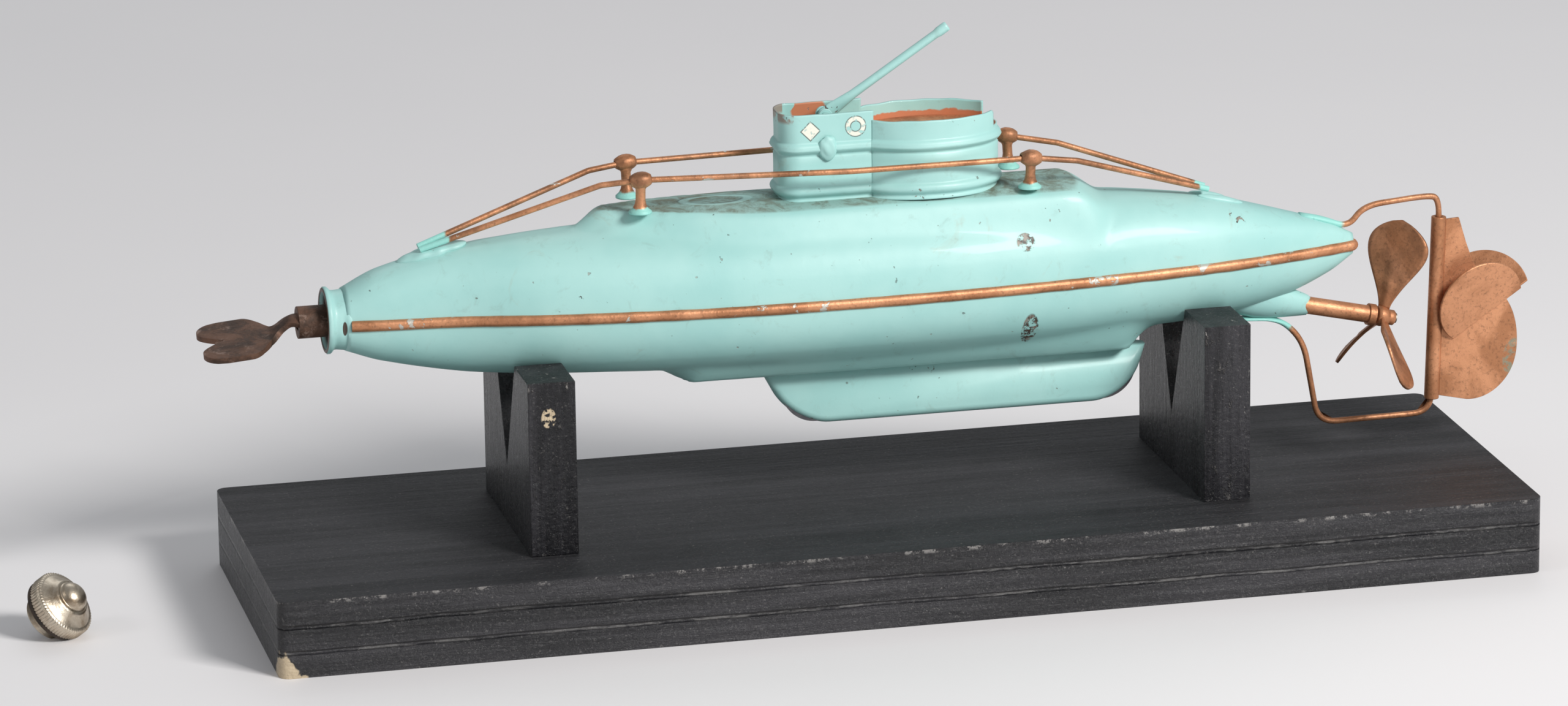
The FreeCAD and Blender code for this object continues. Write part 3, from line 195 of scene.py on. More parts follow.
def towerMarks(place, x, y, z, colour, look):
    # a plain diamond and a ring, white with a dark outline, on the near side only
    near = y < 0.0
    diamond = abs(x - look["diamond"][0]) + abs(z - look["diamond"][1])
    ring = ovalReach(x - look["ring"][0], z - look["ring"][1], 1, 1)
    ring = abs(ring.root() - look["ringRadius"])
    outline = (1 - diamond.fade(0.00235, 0.00255)).most(1 - ring.fade(0.00062, 0.00078))
    white = (1 - diamond.fade(0.0020, 0.0022)).most(1 - ring.fade(0.00040, 0.00055))
    worn = place.noise(900, 3.0).fade(0.36, 0.46)
    colour = (outline * near * worn * 0.8).mix(colour, look["bare"])
    colour = (white * near * worn).mix(colour, look["white"])
    patch = (y > 0.0) * (y < 0.00585) * spot(x + 0.0135, z - 0.1095, 0.0042, 0.0034)
    colour = patch.mix(colour, look["copper"])
    bareEdge = (x < -0.0196) * z.fade(0.1088, 0.1098) * place.noise(300, 3.0).fade(0.40, 0.48)
    return bareEdge.mix(colour, look["steel"])


def towerInside(place, x, y, z, colour, look):
    # copper paint carried up from the tower's floor, with a wavy edge
    inside = ovalReach(x - 0.0124, y, 0.0169, 0.0104) < 1.0
    edge = z + (place.noise(260, 3.0) - 0.5) * 0.0022
    return (inside * (1 - edge.fade(0.1064, 0.1068))).mix(colour, look["copper"])


def rustyMouth(place, x, y, z, colour, look):
    reach = y * y + (z - look["seam"]) * (z - look["seam"])
    inner = (1 - reach.root().fade(0.0058, 0.0064)).most(1 - x.fade(-0.12842, -0.12815))
    colour = inner.mix(colour, look["rust"])
    pinch = spot(x + 0.12455, z - 0.0690, 0.00055, 0.0017) * (y < 0.0)
    return pinch.mix(colour, look["bare"])


def makeTeal(name, look, wear=0.0, detail=None):
    material, place = startPaint(name)
    x, y, z = axes(place)
    up = facing(place)
    colour = place.noise(28, 4.0, 0.6).fade(0.35, 0.65).mix(look["paint"], look["pale"])
    # painted shade: the paint turns darker on surfaces that face down
    colour = (up.fade(0.0, -0.9) * 0.45).mix(colour, look["shade"])
    grit = place.noise(170, 6.0, 0.75, 0.6)
    deck = up.fade(0.85, 0.98) * z.fade(look["deck"] - 0.0006, look["deck"] + 0.0008)
    deck = deck * (1 - z.fade(0.096, 0.098))
    dirt = deck * (grit.fade(0.40, 0.60) * 0.45 + 0.38) + grit.fade(0.55, 0.70) * 0.16
    colour = dirt.mix(colour, look["grime"])
    stain = place.noise(45, 6.0, 0.7, 1.2, shift=(3, 1, 2)).fade(0.62, 0.74) * 0.30
    colour = stain.mix(colour, look["stain"])
    freckle = place.noise(620, 2.0, 0.5, shift=(1, 5, 2)).fade(0.745, 0.765) * 0.6
    chips = chipMask(place, 420, 1.285 - wear, (4, 2, 7))
    above, below = spot(x - 0.0325, z - 0.0800, 0.0022, 0.0020), spot(x - 0.0335, z - 0.0590, 0.0020, 0.0042)
    knocked = above.most(below) * (y < 0.0) * place.noise(700, 5.0, 0.7).fade(0.47, 0.51)
    bare = chips.most(knocked).most(freckle)
    metal = place.noise(420, 3.0, 0.6).fade(0.42, 0.58).mix(look["bare"], look["steel"])
    if detail:
        colour = detail(place, x, y, z, colour, look)
    colour = bare.mix(colour, metal)
    grain = place.noise(240, 3.0, 0.5) * 0.22 - bare * 0.6 + grit * 0.10
    # a plain raised oval on the foredeck, its ring also tinted paler as a painted highlight
    middle, long, wide = look["oval"]
    oval = ovalReach(x - middle, y, long, wide)
    stampAndHighlight = (1 - abs(oval - 0.8).fade(0.16, 0.34)) * z.fade(0.0890, 0.0895) * (1 - z.fade(0.0935, 0.0940))
    # painted highlight: the raised ring is tinted paler
    colour = (stampAndHighlight * 0.6).mix(colour, look["pale"])
    rough = look["rough"] + dirt * 0.35 + bare * 0.25
    return finishPaint(material, place, colour, rough, bare * 0.35, grain + stampAndHighlight * 1.6, 0.00022, 0.06)


copperLook = {"bronze": (0.66, 0.315, 0.165, 1), "deep": (0.430, 0.190, 0.090, 1),
              "dark": (0.045, 0.026, 0.018, 1), "verdigris": (0.25, 0.29, 0.22, 1),
              "tin": (0.55, 0.52, 0.46, 1), "teal": (0.30, 0.66, 0.60, 1), "rough": 0.40}


def makeCopper(name, look, level=1.24, darker=0.0, tealWhere=None, patch=False):
    material, place = startPaint(name)
    x, y, z = axes(place)
    fine = place.noise(1300, 3.0, 0.7)
    cloud = place.noise(60, 5.0, 0.65, 0.8, shift=(2, 8, 5))
    colour = cloud.fade(0.38, 0.62).mix(look["bronze"], look["deep"])
    colour = (fine.fade(0.50, 0.72) * 0.40).mix(colour, look["dark"])
    if darker:
        shadow = place.noise(70, 5.0, 0.7, shift=(5, 1, 9)).fade(0.44, 0.60) * darker
        colour = shadow.mix(colour, look["dark"])
    chips = chipMask(place, 420, level, (6, 3, 8))
    colour = chips.mix(colour, look["tin"])
    painted = chips * 0.3
    if patch:
        worn = spot(x - 0.1560, z - 0.0385, 0.0030, 0.0052)
        worn = worn * place.noise(700, 5.0, 0.7).fade(0.44, 0.56) * 0.8
        colour = worn.mix(colour, look["verdigris"])
    if tealWhere:
        teal = tealWhere(place, x, z)
        colour = teal.mix(colour, look["teal"])
        painted = teal.most(painted)
    return finishPaint(material, place, colour, look["rough"] + fine * 0.2, 0.62 * (1 - painted),
                       fine * 0.5 - chips * 0.7, 0.00016)


def tealEnds(place, x, z):
    ragged = x + (place.noise(400, 3.0) - 0.5) * 0.004
    return (1 - ragged.fade(-0.1000, -0.0985)).most(ragged.fade(0.0772, 0.0780))


def tealFeet(place, x, z):
    return 1 - (z + (place.noise(500, 3.0) - 0.5) * 0.001).fade(0.0925, 0.0930)


def tealTab(place, x, z):
    return 1 - (x + (place.noise(300, 3.0) - 0.5) * 0.004).fade(0.1000, 0.1015)


def tealTail(place, x, z):
    return 1 - (x + (place.noise(300, 3.0) - 0.5) * 0.003).fade(0.1125, 0.1140)


rustLook = {"dark": (0.052, 0.030, 0.020, 1), "brown": (0.150, 0.078, 0.050, 1),
            "worn": (0.30, 0.21, 0.17, 1)}


def makeRust(name, look):
    material, place = startPaint(name)
    cloud = place.noise(130, 6.0, 0.7, 0.8)
    fine = place.noise(900, 4.0, 0.7)
    colour = cloud.fade(0.36, 0.62).mix(look["dark"], look["brown"])
    worn = place.noise(260, 5.0, 0.7, 0.3, shift=(3, 3, 1)).fade(0.56, 0.68) * 0.7
    colour = worn.mix(colour, look["worn"])
    return finishPaint(material, place, colour, 0.42 + fine * 0.3, 0.45, cloud * 0.6 + fine * 0.5, 0.00025)


woodLook = {"black": (0.007, 0.007, 0.009, 1), "grey": (0.034, 0.033, 0.038, 1),
            "line": (0.20, 0.195, 0.19, 1), "wood": (0.62, 0.50, 0.34, 1),
            "dust": (0.42, 0.40, 0.38, 1), "plies": (6.0, 12.0)}


def makeWood(name, look, board):
    material, place = startPaint(name)
    x, y, z = axes(place)
    up = facing(place)
    top = up.fade(0.6, 0.9)
    along = (0.06, 1, 1) if board else (1, 1, 0.08)
    grain = place.noise(620, 6.0, 0.75, 0.2, stretch=along)
    streak = place.noise(150, 6.0, 0.70, 0.3, stretch=along)
    coarse = place.noise(700, 4.0, 0.7)
    colour = streak.fade(0.36, 0.68).mix(look["black"], look["grey"])
    speck = place.noise(1500, 4.0, 0.8, shift=(2, 2, 2)).fade(0.60, 0.66)
    drift = place.noise(40, 5.0, 0.7, 1.0).fade(0.35, 0.65)
    colour = (speck * (top * 0.35 + 0.40) * (drift * 0.7 + 0.3)).mix(colour, look["dust"])
    bump = grain * 0.9 + coarse * 0.5
    if board:
        colour = (top * drift * 0.30).mix(colour, look["grey"])
        side = 1 - abs(up).fade(0.3, 0.6)
        wander = (place.noise(30, 3.0) - 0.5) * 0.0012
        for ply in look["plies"]:
            line = 1 - abs(z + wander - ply * mm).fade(0.0002, 0.0006)
            broken = place.noise(160, 5.0, 0.8, stretch=(0.4, 1, 2)).fade(0.47, 0.60)
            colour = (line * side * broken * 0.6).mix(colour, look["line"])
            bump = bump - line * side * 1.6
        worn = z.fade(0.0168, 0.0176) * side * place.noise(260, 5.0, 0.8).fade(0.52, 0.60) * 0.55
        colour = worn.mix(colour, look["dust"])
        reach = abs(x + 0.1465) + abs(y + 0.0440) + z * 0.8
        chip = (reach + (place.noise(300, 4.0) - 0.5) * 0.006).fade(0.0062, 0.0056)
        colour = chip.mix(colour, look["wood"])
    else:
        edge = abs(y).fade(0.0262, 0.0273)
        head = z.fade(0.0560, 0.0590)
        near = (y < -0.0262) * (1 - x.fade(-0.080, -0.076))
        knock = near * spot(x + 0.0822, z - 0.0505, 0.0017, 0.0024)
        knock = knock * place.noise(900, 4.0).fade(0.44, 0.50)
        rub = place.noise(330, 5.0, 0.78, stretch=(1, 1, 0.45)).fade(0.60, 0.68)
        colour = (rub * (head * 0.75 + edge * 0.22)).mix(colour, look["dust"])
        colour = knock.mix(colour, look["wood"])
        bump = bump + rub * 0.5
    return finishPaint(material, place, colour, 0.20 + coarse * 0.16 + top * 0.26, 0.0, bump, 0.0009)


def makeMetal(name, colour, dark, rough, scale, metal=1.0, stretch=(1, 1, 1)):
    material, place = startPaint(name)
    cloud = place.noise(scale, 5.0, 0.65, 0.4, stretch=stretch)
    fine = place.noise(scale * 9, 3.0, 0.7, stretch=stretch)
    tint = cloud.fade(0.38, 0.66).mix((*colour, 1), (*dark, 1))
    return finishPaint(material, place, tint, rough + fine * 0.22, metal, fine * 0.4 + cloud * 0.2, 0.00012)


paints = {
    "teal": makeTeal("turquoiseEnamel", tealLook),
    "tealWorn": makeTeal("turquoiseWorn", tealLook, 0.045),
    "tealChipped": makeTeal("turquoiseChipped", tealLook, 0.155),
    "tealTower": makeTeal("turquoiseTower", tealLook, 0.03, towerMarks),
    "tealOval": makeTeal("turquoiseOval", tealLook, 0.05, towerInside),
    "tealMouth": makeTeal("turquoiseMouth", tealLook, 0.05, rustyMouth),
    "copper": makeCopper("copperBronze", copperLook),
    "copperChipped": makeCopper("copperChipped", copperLook, 1.13),
    "copperRail": makeCopper("copperRail", copperLook, 1.18, 0.4, tealEnds),
    "copperPost": makeCopper("copperPost", copperLook, 1.24, 0.5, tealFeet),
    "copperTab": makeCopper("copperTab", copperLook, 1.22, 0.3, tealTab),
    "copperTail": makeCopper("copperTail", copperLook, 1.15, 0.2, tealTail),
    "copperDark": makeCopper("copperDark", copperLook, 1.32, 0.35),
    "copperRudder": makeCopper("copperRudder", copperLook, 1.30, 0.0, None, True),
    "rust": makeRust("rustySteel", rustLook),
    "board": makeWood("blackBoard", woodLook, True),
    "post": makeWood("blackPost", woodLook, False),
    "nickel": makeMetal("wornNickel", (0.66, 0.58, 0.47), (0.34, 0.26, 0.18), 0.26, 160),
    "steel": makeMetal("plainSteel", (0.46, 0.44, 0.42), (0.22, 0.20, 0.18), 0.35, 140),
    "brass": makeMetal("stampedBrass", (0.66, 0.48, 0.20), (0.36, 0.24, 0.10), 0.32, 120),
    "blued": makeMetal("bluedSpring", (0.10, 0.12, 0.20), (0.05, 0.05, 0.08), 0.30, 200),
    "lead": makeMetal("castLead", (0.20, 0.20, 0.21), (0.10, 0.10, 0.11), 0.55, 90, 0.7),
    "leather": makeMetal("darkLeather", (0.06, 0.038, 0.025), (0.02, 0.014, 0.010), 0.6, 300, 0.0),
    "shaft": makeMetal("drawnSteel", (0.36, 0.33, 0.29), (0.16, 0.12, 0.09), 0.35, 110, 1.0, (1, 8, 8)),
}
print("materials made")


# ---- pieces

def finishPiece(name, bm, paint, body, replaced=()):
    mesh = bpy.data.meshes.new(name)
    for face in bm.faces:
        face.smooth = True
    bm.to_mesh(mesh)
    bm.free()
    mesh.materials.append(paints[paint])
    piece = bpy.data.objects.new(name, mesh)
    bpy.context.collection.objects.link(piece)
    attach(piece, body)
    if replaced:
        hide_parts(*replaced)
    return piece


def mendFaces(bm):
    bmesh.ops.remove_doubles(bm, verts=bm.verts, dist=2e-6)
    bmesh.ops.dissolve_degenerate(bm, dist=1e-7, edges=bm.edges)
    bmesh.ops.recalc_face_normals(bm, faces=bm.faces)


def formGrid(across, along, shape):
    bm = bmesh.new()
    bmesh.ops.create_grid(bm, x_segments=across, y_segments=along, size=1)
    for vert in bm.verts:
        vert.co = Vector(shape((vert.co.x + 1) / 2, (vert.co.y + 1) / 2)) * mm
    mendFaces(bm)
    return bm


def faceOut(bm, outward=(0, -1, 0)):
    # an open sheet is turned so that its outer side faces outward
    outward = Vector(outward)
    outer = max(bm.faces, key=lambda face: face.calc_center_median().dot(outward))
    if outer.normal.dot(outward) < 0:
        bmesh.ops.reverse_faces(bm, faces=bm.faces)


def rowAt(share, last):
    return min(int(round(share * last)), last)


def addWall(piece, thickness, offset=-1.0):
    wall = piece.modifiers.new("wall", "SOLIDIFY")
    wall.thickness = thickness * mm
    wall.offset = offset
    wall.use_even_offset = False


def addBevel(piece, width, segments=2, angle=32):
    edge = piece.modifiers.new("edge", "BEVEL")
    edge.width = width * mm
    edge.segments = segments
    edge.limit_method = "ANGLE"
    edge.angle_limit = math.radians(angle)
    edge.harden_normals = False


def spun(profile, steps=48):
    # a profile of (radius, height) turned about the upright axis
    bm = bmesh.new()
    verts = [bm.verts.new((radius * mm, 0, height * mm)) for radius, height in profile]
    edges = [bm.edges.new(pair) for pair in zip(verts, verts[1:])]
    bmesh.ops.spin(bm, geom=verts + edges, axis=(0, 0, 1), cent=(0, 0, 0), steps=steps,
                   angle=2 * math.pi, use_merge=True)
    mendFaces(bm)
    return bm


def copyNode(node, paint, bevel):
    # the CAD shape with its loose triangles merged and its edges eased
    source = frame["nodes"][node]
    bm = bmesh.new()
    bm.from_mesh(source.data)
    bmesh.ops.remove_doubles(bm, verts=bm.verts, dist=1e-6)
    bmesh.ops.dissolve_limit(bm, angle_limit=math.radians(1.5), verts=bm.verts, edges=bm.edges)
    for edge in bm.edges:
        edge.smooth = edge.calc_face_angle(0) < math.radians(32)
    body = [row for row, nodes in frame["record"]["behaviour"]["bodies"].items() if node in nodes][0]
    piece = finishPiece(node + "_finished", bm, paint, body, (node,))
    addBevel(piece, bevel)


# ---- hull

hullShape = {"front": -124.0, "back": 115.6, "seam": 69.5, "halfBeam": 19.2, "rise": 19.0, "drop": 17.2,
             "fullness": 2.35, "tin": 0.5, "rows": 240, "ring": 44,
             "softening": 14, "softTop": (77.0, 90.6), "softUnder": (50.6, 58.0)}
stations = (
    (0.000, 0.350, 0.375, 0.405), (0.035, 0.410, 0.590, 0.580), (0.105, 0.500, 0.790, 0.790),
    (0.185, 0.715, 0.890, 0.895), (0.270, 0.870, 0.950, 0.950), (0.360, 0.970, 0.980, 0.990),
    (0.460, 1.000, 1.000, 1.000), (0.580, 0.970, 0.990, 0.990), (0.690, 0.870, 0.955, 0.965),
    (0.780, 0.740, 0.880, 0.890), (0.860, 0.580, 0.730, 0.810), (0.930, 0.360, 0.500, 0.610),
    (0.975, 0.180, 0.310, 0.360), (1.000, 0.070, 0.150, 0.130),
)
casing = {"front": -72.0, "back": 55.0, "half": 12.6, "top": 91.4, "ramp": 9.0, "edge": 2.0, "tail": 7.0,
          "fall": 9.0, "taper": 50.0, "crown": 0.010}
pad = {"front": -53.0, "back": 66.0, "half": 8.6, "bottom": 50.0, "frontRamp": 9.0, "backRamp": 7.0,
       "edge": 2.4}


def stationValue(share, column):
    # a smooth curve through the stations
    last = len(stations) - 1
    index = max(number for number in range(last) if share >= stations[number][0] or number == 0)
    here, there = stations[index], stations[index + 1]
    before, after = stations[max(index - 1, 0)], stations[min(index + 2, last)]
    span = there[0] - here[0]
    part = (share - here[0]) / span
    slopeHere = (there[column] - before[column]) / max(there[0] - before[0], 1e-6) * span
    slopeThere = (after[column] - here[column]) / max(after[0] - here[0], 1e-6) * span
    square, cube = part * part, part * part * part
    return ((2 * cube - 3 * square + 1) * here[column] + (cube - 2 * square + part) * slopeHere
            + (3 * square - 2 * cube) * there[column] + (cube - square) * slopeThere)


def hullSection(x):
    share = (x - hullShape["front"]) / (hullShape["back"] - hullShape["front"])
    share = min(max(share, 0.0), 1.0)
    wide = stationValue(share, 1) * hullShape["halfBeam"]
    rise = stationValue(share, 2) * hullShape["rise"]
    drop = stationValue(share, 3) * hullShape["drop"]
    return wide, rise, drop


def casingHalf(x):
    if x <= casing["front"] or x >= casing["back"]:
        return 0.0
    tail = (x - casing["back"] + casing["tail"]) / casing["tail"]
    nose = min((x - casing["front"]) / casing["taper"], 1)
    width = casing["half"] * math.sin(nose * math.pi / 2) ** 0.85
    return width * max(1 - max(tail, 0) ** 4, 0) ** 0.35


def padHalf(x):
    if x <= pad["front"] or x >= pad["back"]:
        return 0.0
    ends = min((x - pad["front"]) / pad["frontRamp"], (pad["back"] - x) / pad["backRamp"])
    return pad["half"] * math.sqrt(min(ends, 1.0))


def hullPoint(along, around, side, upper):
    # around runs from the seam (0) to the middle line (1)
    x = hullShape["front"] + (hullShape["back"] - hullShape["front"]) * along
    wide, rise, drop = hullSection(x)
    high = rise if upper else drop
    half = casingHalf(x) if upper else padHalf(x)
    edge = casing["edge"] if upper else pad["edge"]
    inner = max(min(half, wide - 3), 0.0)
    power = hullShape["fullness"]
    # the same share of the rows always lies on the flat, whether or not it is raised
    flat = min(max(inner, 0.55 * wide), wide - 2)
    breakY = min(flat + edge, wide * 0.95)
    if around < 0.5:
        last = math.acos(min((breakY / wide) ** (power / 2), 1))
        y = wide * math.cos(last * around / 0.5) ** (2 / power)
    elif around < 0.8:
        y = breakY + (max(flat - edge, 0) - breakY) * (around - 0.5) / 0.3
    else:
        y = max(flat - edge, 0) * (1 - (around - 0.8) / 0.2)
    up = high * max(1 - (y / wide) ** power, 0) ** (1 / power)
    if inner > 0:
        if upper:
            level = casing["top"] - hullShape["seam"]
            nose = smoothStep((x - casing["front"]) / casing["ramp"])
            tail = smoothStep((casing["back"] - x) / casing["fall"])
        else:
            level = hullShape["seam"] - pad["bottom"]
            nose = smoothStep((x - pad["front"]) / pad["frontRamp"])
            tail = smoothStep((pad["back"] - x) / pad["backRamp"])
        crown = level - casing["crown"] * y * y if upper else level
        mask = smoothStep((inner + edge - y) / (2 * edge))
        up += max(crown - up, 0) * mask * nose * tail
    dent = 0.10 * steady(x, y * side, up, 14) + 0.05 * steady(x, y * side, up, 5)
    up += dent * smoothStep(around * 4)
    return x, side * y, hullShape["seam"] + (up if upper else -up)


def makeHullHalf(name, upper, node):
    def shape(along, across):
        side = -1 if across < 0.5 else 1
        around = 1 - abs(2 * across - 1)
        return hullPoint(along, around, side, upper)

    bm = formGrid(hullShape["rows"], hullShape["ring"] * 2, shape)
    faceOut(bm, (0, 0, 1 if upper else -1))
    # the creases round the raised casing and the keel pad are eased
    low, high = hullShape["softTop"] if upper else hullShape["softUnder"]
    soft = [vert for vert in bm.verts if not vert.is_boundary and low < vert.co.z / mm < high
            and abs(vert.co.y) > 5 * mm]
    for _ in range(hullShape["softening"]):
        bmesh.ops.smooth_vert(bm, verts=soft, factor=0.5, use_axis_x=False, use_axis_y=True, use_axis_z=True)
    tail = [edge for edge in bm.edges if edge.is_boundary
            and min(vert.co.x for vert in edge.verts) > (hullShape["back"] - 0.05) * mm]
    bmesh.ops.holes_fill(bm, edges=tail, sides=0)
    piece = finishPiece(name, bm, "teal", "hull", (node,))
    addWall(piece, hullShape["tin"])


makeHullHalf("hullTop", True, "upper_hull")
makeHullHalf("hullBottom", False, "lower_hull")

strakeShape = {"front": -123.0, "proud": 1.0, "half": 1.3, "steps": 420}


def makeStrake(shape):
    def plan(share):
        side = -1 if share < 0.5 else 1
        reach = abs(2 * share - 1) ** 1.5
        x = hullShape["back"] + 0.4 - (hullShape["back"] + 0.4 - shape["front"]) * reach
        wide = hullSection(x)[0]
        tip = math.sqrt(max(hullShape["back"] + 0.42 - x, 0)) * 1.5
        if x > hullShape["back"] - 2:
            wide = min(wide, tip)
        return Vector((x, side * wide, 0))

    def bead(along, around):
        here = plan(along)
        ahead = (plan(min(along + 0.002, 1)) - plan(max(along - 0.002, 0))).normalized()
        out = Vector((ahead.y, -ahead.x, 0))
        angle = (around - 0.5) * math.pi * 1.1
        worn = 0.10 * steady(here.x, here.y, 3, 4)
        reach = -0.2 + (shape["proud"] + 0.2 + worn) * math.cos(angle)
        edge = here + out * reach
        return edge.x, edge.y, hullShape["seam"] + (shape["half"] + worn) * math.sin(angle)

    bm = formGrid(shape["steps"], 10, bead)
    faceOut(bm)
    finishPiece("strakeBead", bm, "copperChipped", "hull", ("seam_strake",))


makeStrake(strakeShape)
print("hull made")


# ---- bow tube

collarShape = {"front": -128.5, "long": 24.0, "neck": 6.3, "bore": 5.7, "rim": 7.7, "rimLong": 1.4,
               "flare": 7.0, "ripple": 0.014, "pinch": (-124.55, 69.0), "pinchSize": (0.7, 2.2),
               "pinchDeep": 0.6}


def makeCollar(shape):
    rim, neck, bore, flare = shape["rim"], shape["neck"], shape["bore"], shape["flare"]
    edge = shape["rimLong"]
    profile = [(bore, shape["long"]), (neck, shape["long"]), (neck, 6.5),
               (flare, 5.6), (flare + 0.1, 5.0), (flare + 0.05, 4.6), (flare, 4.2), (flare - 0.05, 3.8),
               (flare - 0.1, 3.4), (flare - 0.15, 3.0), (flare - 0.2, 2.6), (flare - 0.2, 2.2),
               (flare - 0.1, 1.8), (rim - 0.3, edge), (rim, edge * 0.75), (rim, edge * 0.3),
               (rim - 0.3, 0.1), (rim - 0.8, 0.0), (rim - 1.1, 0.15), (rim - 1.3, 0.6),
               (bore + 0.1, 1.3), (bore, 2.4),
               (bore, shape["long"])]
    bm = spun(profile, 120)
    for vert in bm.verts:
        up, across, along = vert.co / mm
        reach = math.hypot(up, across)
        ripple = 1 + shape["ripple"] * steady(up, across, along, 3)
        x = shape["front"] + along
        z = hullShape["seam"] + up * ripple
        if across < 0 and reach > bore + 0.3:
            fold = ovalReach(x - shape["pinch"][0], z - shape["pinch"][1], *shape["pinchSize"])
            ripple -= shape["pinchDeep"] / reach * math.exp(-fold)
        vert.co = Vector((x, across * ripple, hullShape["seam"] + up * ripple)) * mm
    bmesh.ops.recalc_face_normals(bm, faces=bm.faces)
    finishPiece("bowTube", bm, "tealMouth", "hull", ("bow_collar",))


makeCollar(collarShape)


# ---- keel

finShape = {"frontRake": 7.0, "backRake": 4.0, "corner": 9.0, "edge": 1.9}


def makeKeelFin(shape):
    low, high = [Vector(corner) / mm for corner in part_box("keel_fin")]
    bm = bmesh.new()
    bmesh.ops.create_cube(bm, size=1)
    for vert in bm.verts:
        end = vert.co.x > 0
        x = high.x if end else low.x
        if vert.co.z < 0:
            x += -shape["backRake"] if end else shape["frontRake"]
        vert.co = Vector((x, vert.co.y * (high.y - low.y), high.z if vert.co.z > 0 else low.z)) * mm
    cross = [edge for edge in bm.edges if abs(edge.verts[0].co.y - edge.verts[1].co.y) > 0.001
             and edge.verts[0].co.z < 0.04]
    bmesh.ops.bevel(bm, geom=cross, affect="EDGES", offset=shape["corner"] * mm, segments=14, profile=0.5,
                    material=-1)
    under = []
    for edge in bm.edges:
        first, second = [vert.co for vert in edge.verts]
        lowered = max(first.z, second.z) < high.z * mm - 1e-4 or abs(first.z - second.z) > 1e-3
        if abs(first.y - second.y) < 1e-6 and lowered:
            under.append(edge)
    bmesh.ops.bevel(bm, geom=under, affect="EDGES", offset=shape["edge"] * mm, segments=6, profile=0.5,
                    material=-1)
    bmesh.ops.recalc_face_normals(bm, faces=bm.faces)
    finishPiece("keelSheet", bm, "tealWorn", "hull", ("keel_fin",))


makeKeelFin(finShape)


# ---- conning tower

towerShape = {"deck": 91.0, "smallFront": -22.4, "smallHalf": 6.2, "corner": 4.2, "smallRim": 111.2,
              "ovalX": 12.4, "ovalLong": 17.1, "ovalHalf": 10.6, "ovalRim": 109.0, "doorHalf": 5.0,
              "doorFloor": 105.4, "tin": 0.5, "upperBead": 103.3, "lowerBead": 93.2, "join": -1.0}


def beadReach(z):
    # a broad rolled ridge with a fine groove under it, and a slight step below
    reach = 0.0
    for level in (towerShape["upperBead"], towerShape["lowerBead"]):
        gap = abs(z - level) / 1.25
        if gap < 1:
            reach += 0.85 * math.cos(gap * math.pi / 2) ** 0.8
        low = (z - level + 1.75) / 0.5
        if abs(low) < 1:
            reach -= 0.30 * math.cos(low * math.pi / 2)
    return reach + (0.30 if z < towerShape["upperBead"] else 0.12)


def towerLevels(rim):
    levels = [towerShape["deck"] - 0.4, towerShape["deck"]]
    for level in (towerShape["lowerBead"], towerShape["upperBead"]):
        levels += [level + step * 0.25 for step in range(-9, 7)]
    levels += [98.2, towerShape["doorFloor"], 106.2, 107.2, 108.0, rim - 0.4, rim]
    return sorted(levels)


def towerPiece(name, outline, rim, across, paint, node, door=False):
    levels = towerLevels(rim)

    def shape(along, height):
        z = levels[rowAt(height, len(levels) - 1)]
        x, y, outX, outY = outline(along)
        reach = beadReach(z) + 0.16 * steady(x, y, z, 6)
        lift = 0.28 * steady(x, y, 0, 5) if z > rim - 0.5 else 0
        return x + outX * reach, y + outY * reach, z + lift

    bm = formGrid(across, len(levels) - 1, shape)
    if door:
        gone = [face for face in bm.faces if face.calc_center_median().x > 0.02
                and abs(face.calc_center_median().y) < towerShape["doorHalf"] * mm
                and face.calc_center_median().z > towerShape["doorFloor"] * mm]
        bmesh.ops.delete(bm, geom=gone, context="FACES")
    faceOut(bm)
    piece = finishPiece(name, bm, paint, "hull", (node,))
    addWall(piece, towerShape["tin"])


def smallOutline(along):
    half, corner, front = towerShape["smallHalf"], towerShape["corner"], towerShape["smallFront"]
    straight = towerShape["join"] - (front + corner)
    arc = corner * math.pi / 2
    flat = 2 * (half - corner)
    total = 2 * straight + 2 * arc + flat
    run = along * total
    sign = -1
    if run > total / 2:
        run, sign = total - run, 1
    if run < straight:
        return towerShape["join"] - run, sign * half, 0, sign
    run -= straight
    if run < arc:
        angle = run / corner
        return (front + corner - corner * math.sin(angle), sign * (half - corner + corner * math.cos(angle)),
                -math.sin(angle), sign * math.cos(angle))
    run -= arc
    return front, sign * (half - corner - run), -1, 0


def ovalOutline(along):
    gap = math.asin(towerShape["smallHalf"] / towerShape["ovalHalf"])
    angle = math.pi + gap + along * (2 * math.pi - 2 * gap)
    x = towerShape["ovalX"] + towerShape["ovalLong"] * math.cos(angle)
    y = towerShape["ovalHalf"] * math.sin(angle)
    out = Vector((math.cos(angle) / towerShape["ovalLong"], math.sin(angle) / towerShape["ovalHalf"]))
    out.normalize()
    return x, y, out.x, out.y


towerPiece("smallTower", smallOutline, towerShape["smallRim"], 110, "tealTower", "tower_front_shell")
towerPiece("ovalTower", ovalOutline, towerShape["ovalRim"], 150, "tealOval", "tower_rear_shell", True)


nubShape = {"place": (-11.8, -6.7, 103.3), "half": (2.2, 1.15, 2.8)}


def makeNub(shape):
    # a run of solder over the upper bead on the near side
    bm = bmesh.new()
    bmesh.ops.create_icosphere(bm, subdivisions=4, radius=1)
    for vert in bm.verts:
        bulge = 1 + 0.16 * steady(*vert.co, 0.6)
        vert.co = (Vector(shape["place"]) + Vector(shape["half"]) * vert.co * bulge) * mm
    finishPiece("towerSolder", bm, "tealWorn", "hull")


makeNub(nubShape)
print("tower made")


# ---- stern gear

bladeShape = {"long": 21.4, "wide": 15.6, "thick": 0.7, "pitch": 44.0, "turn": 3.0, "root": 1.9}
shaftSlope = math.radians(12.5)
hubPlace = Vector((123.2, 0, 51.42))
shaftTurn = Matrix.Rotation(shaftSlope, 4, "Y")
alongShaft = Matrix.Rotation(math.pi / 2, 4, "Y")


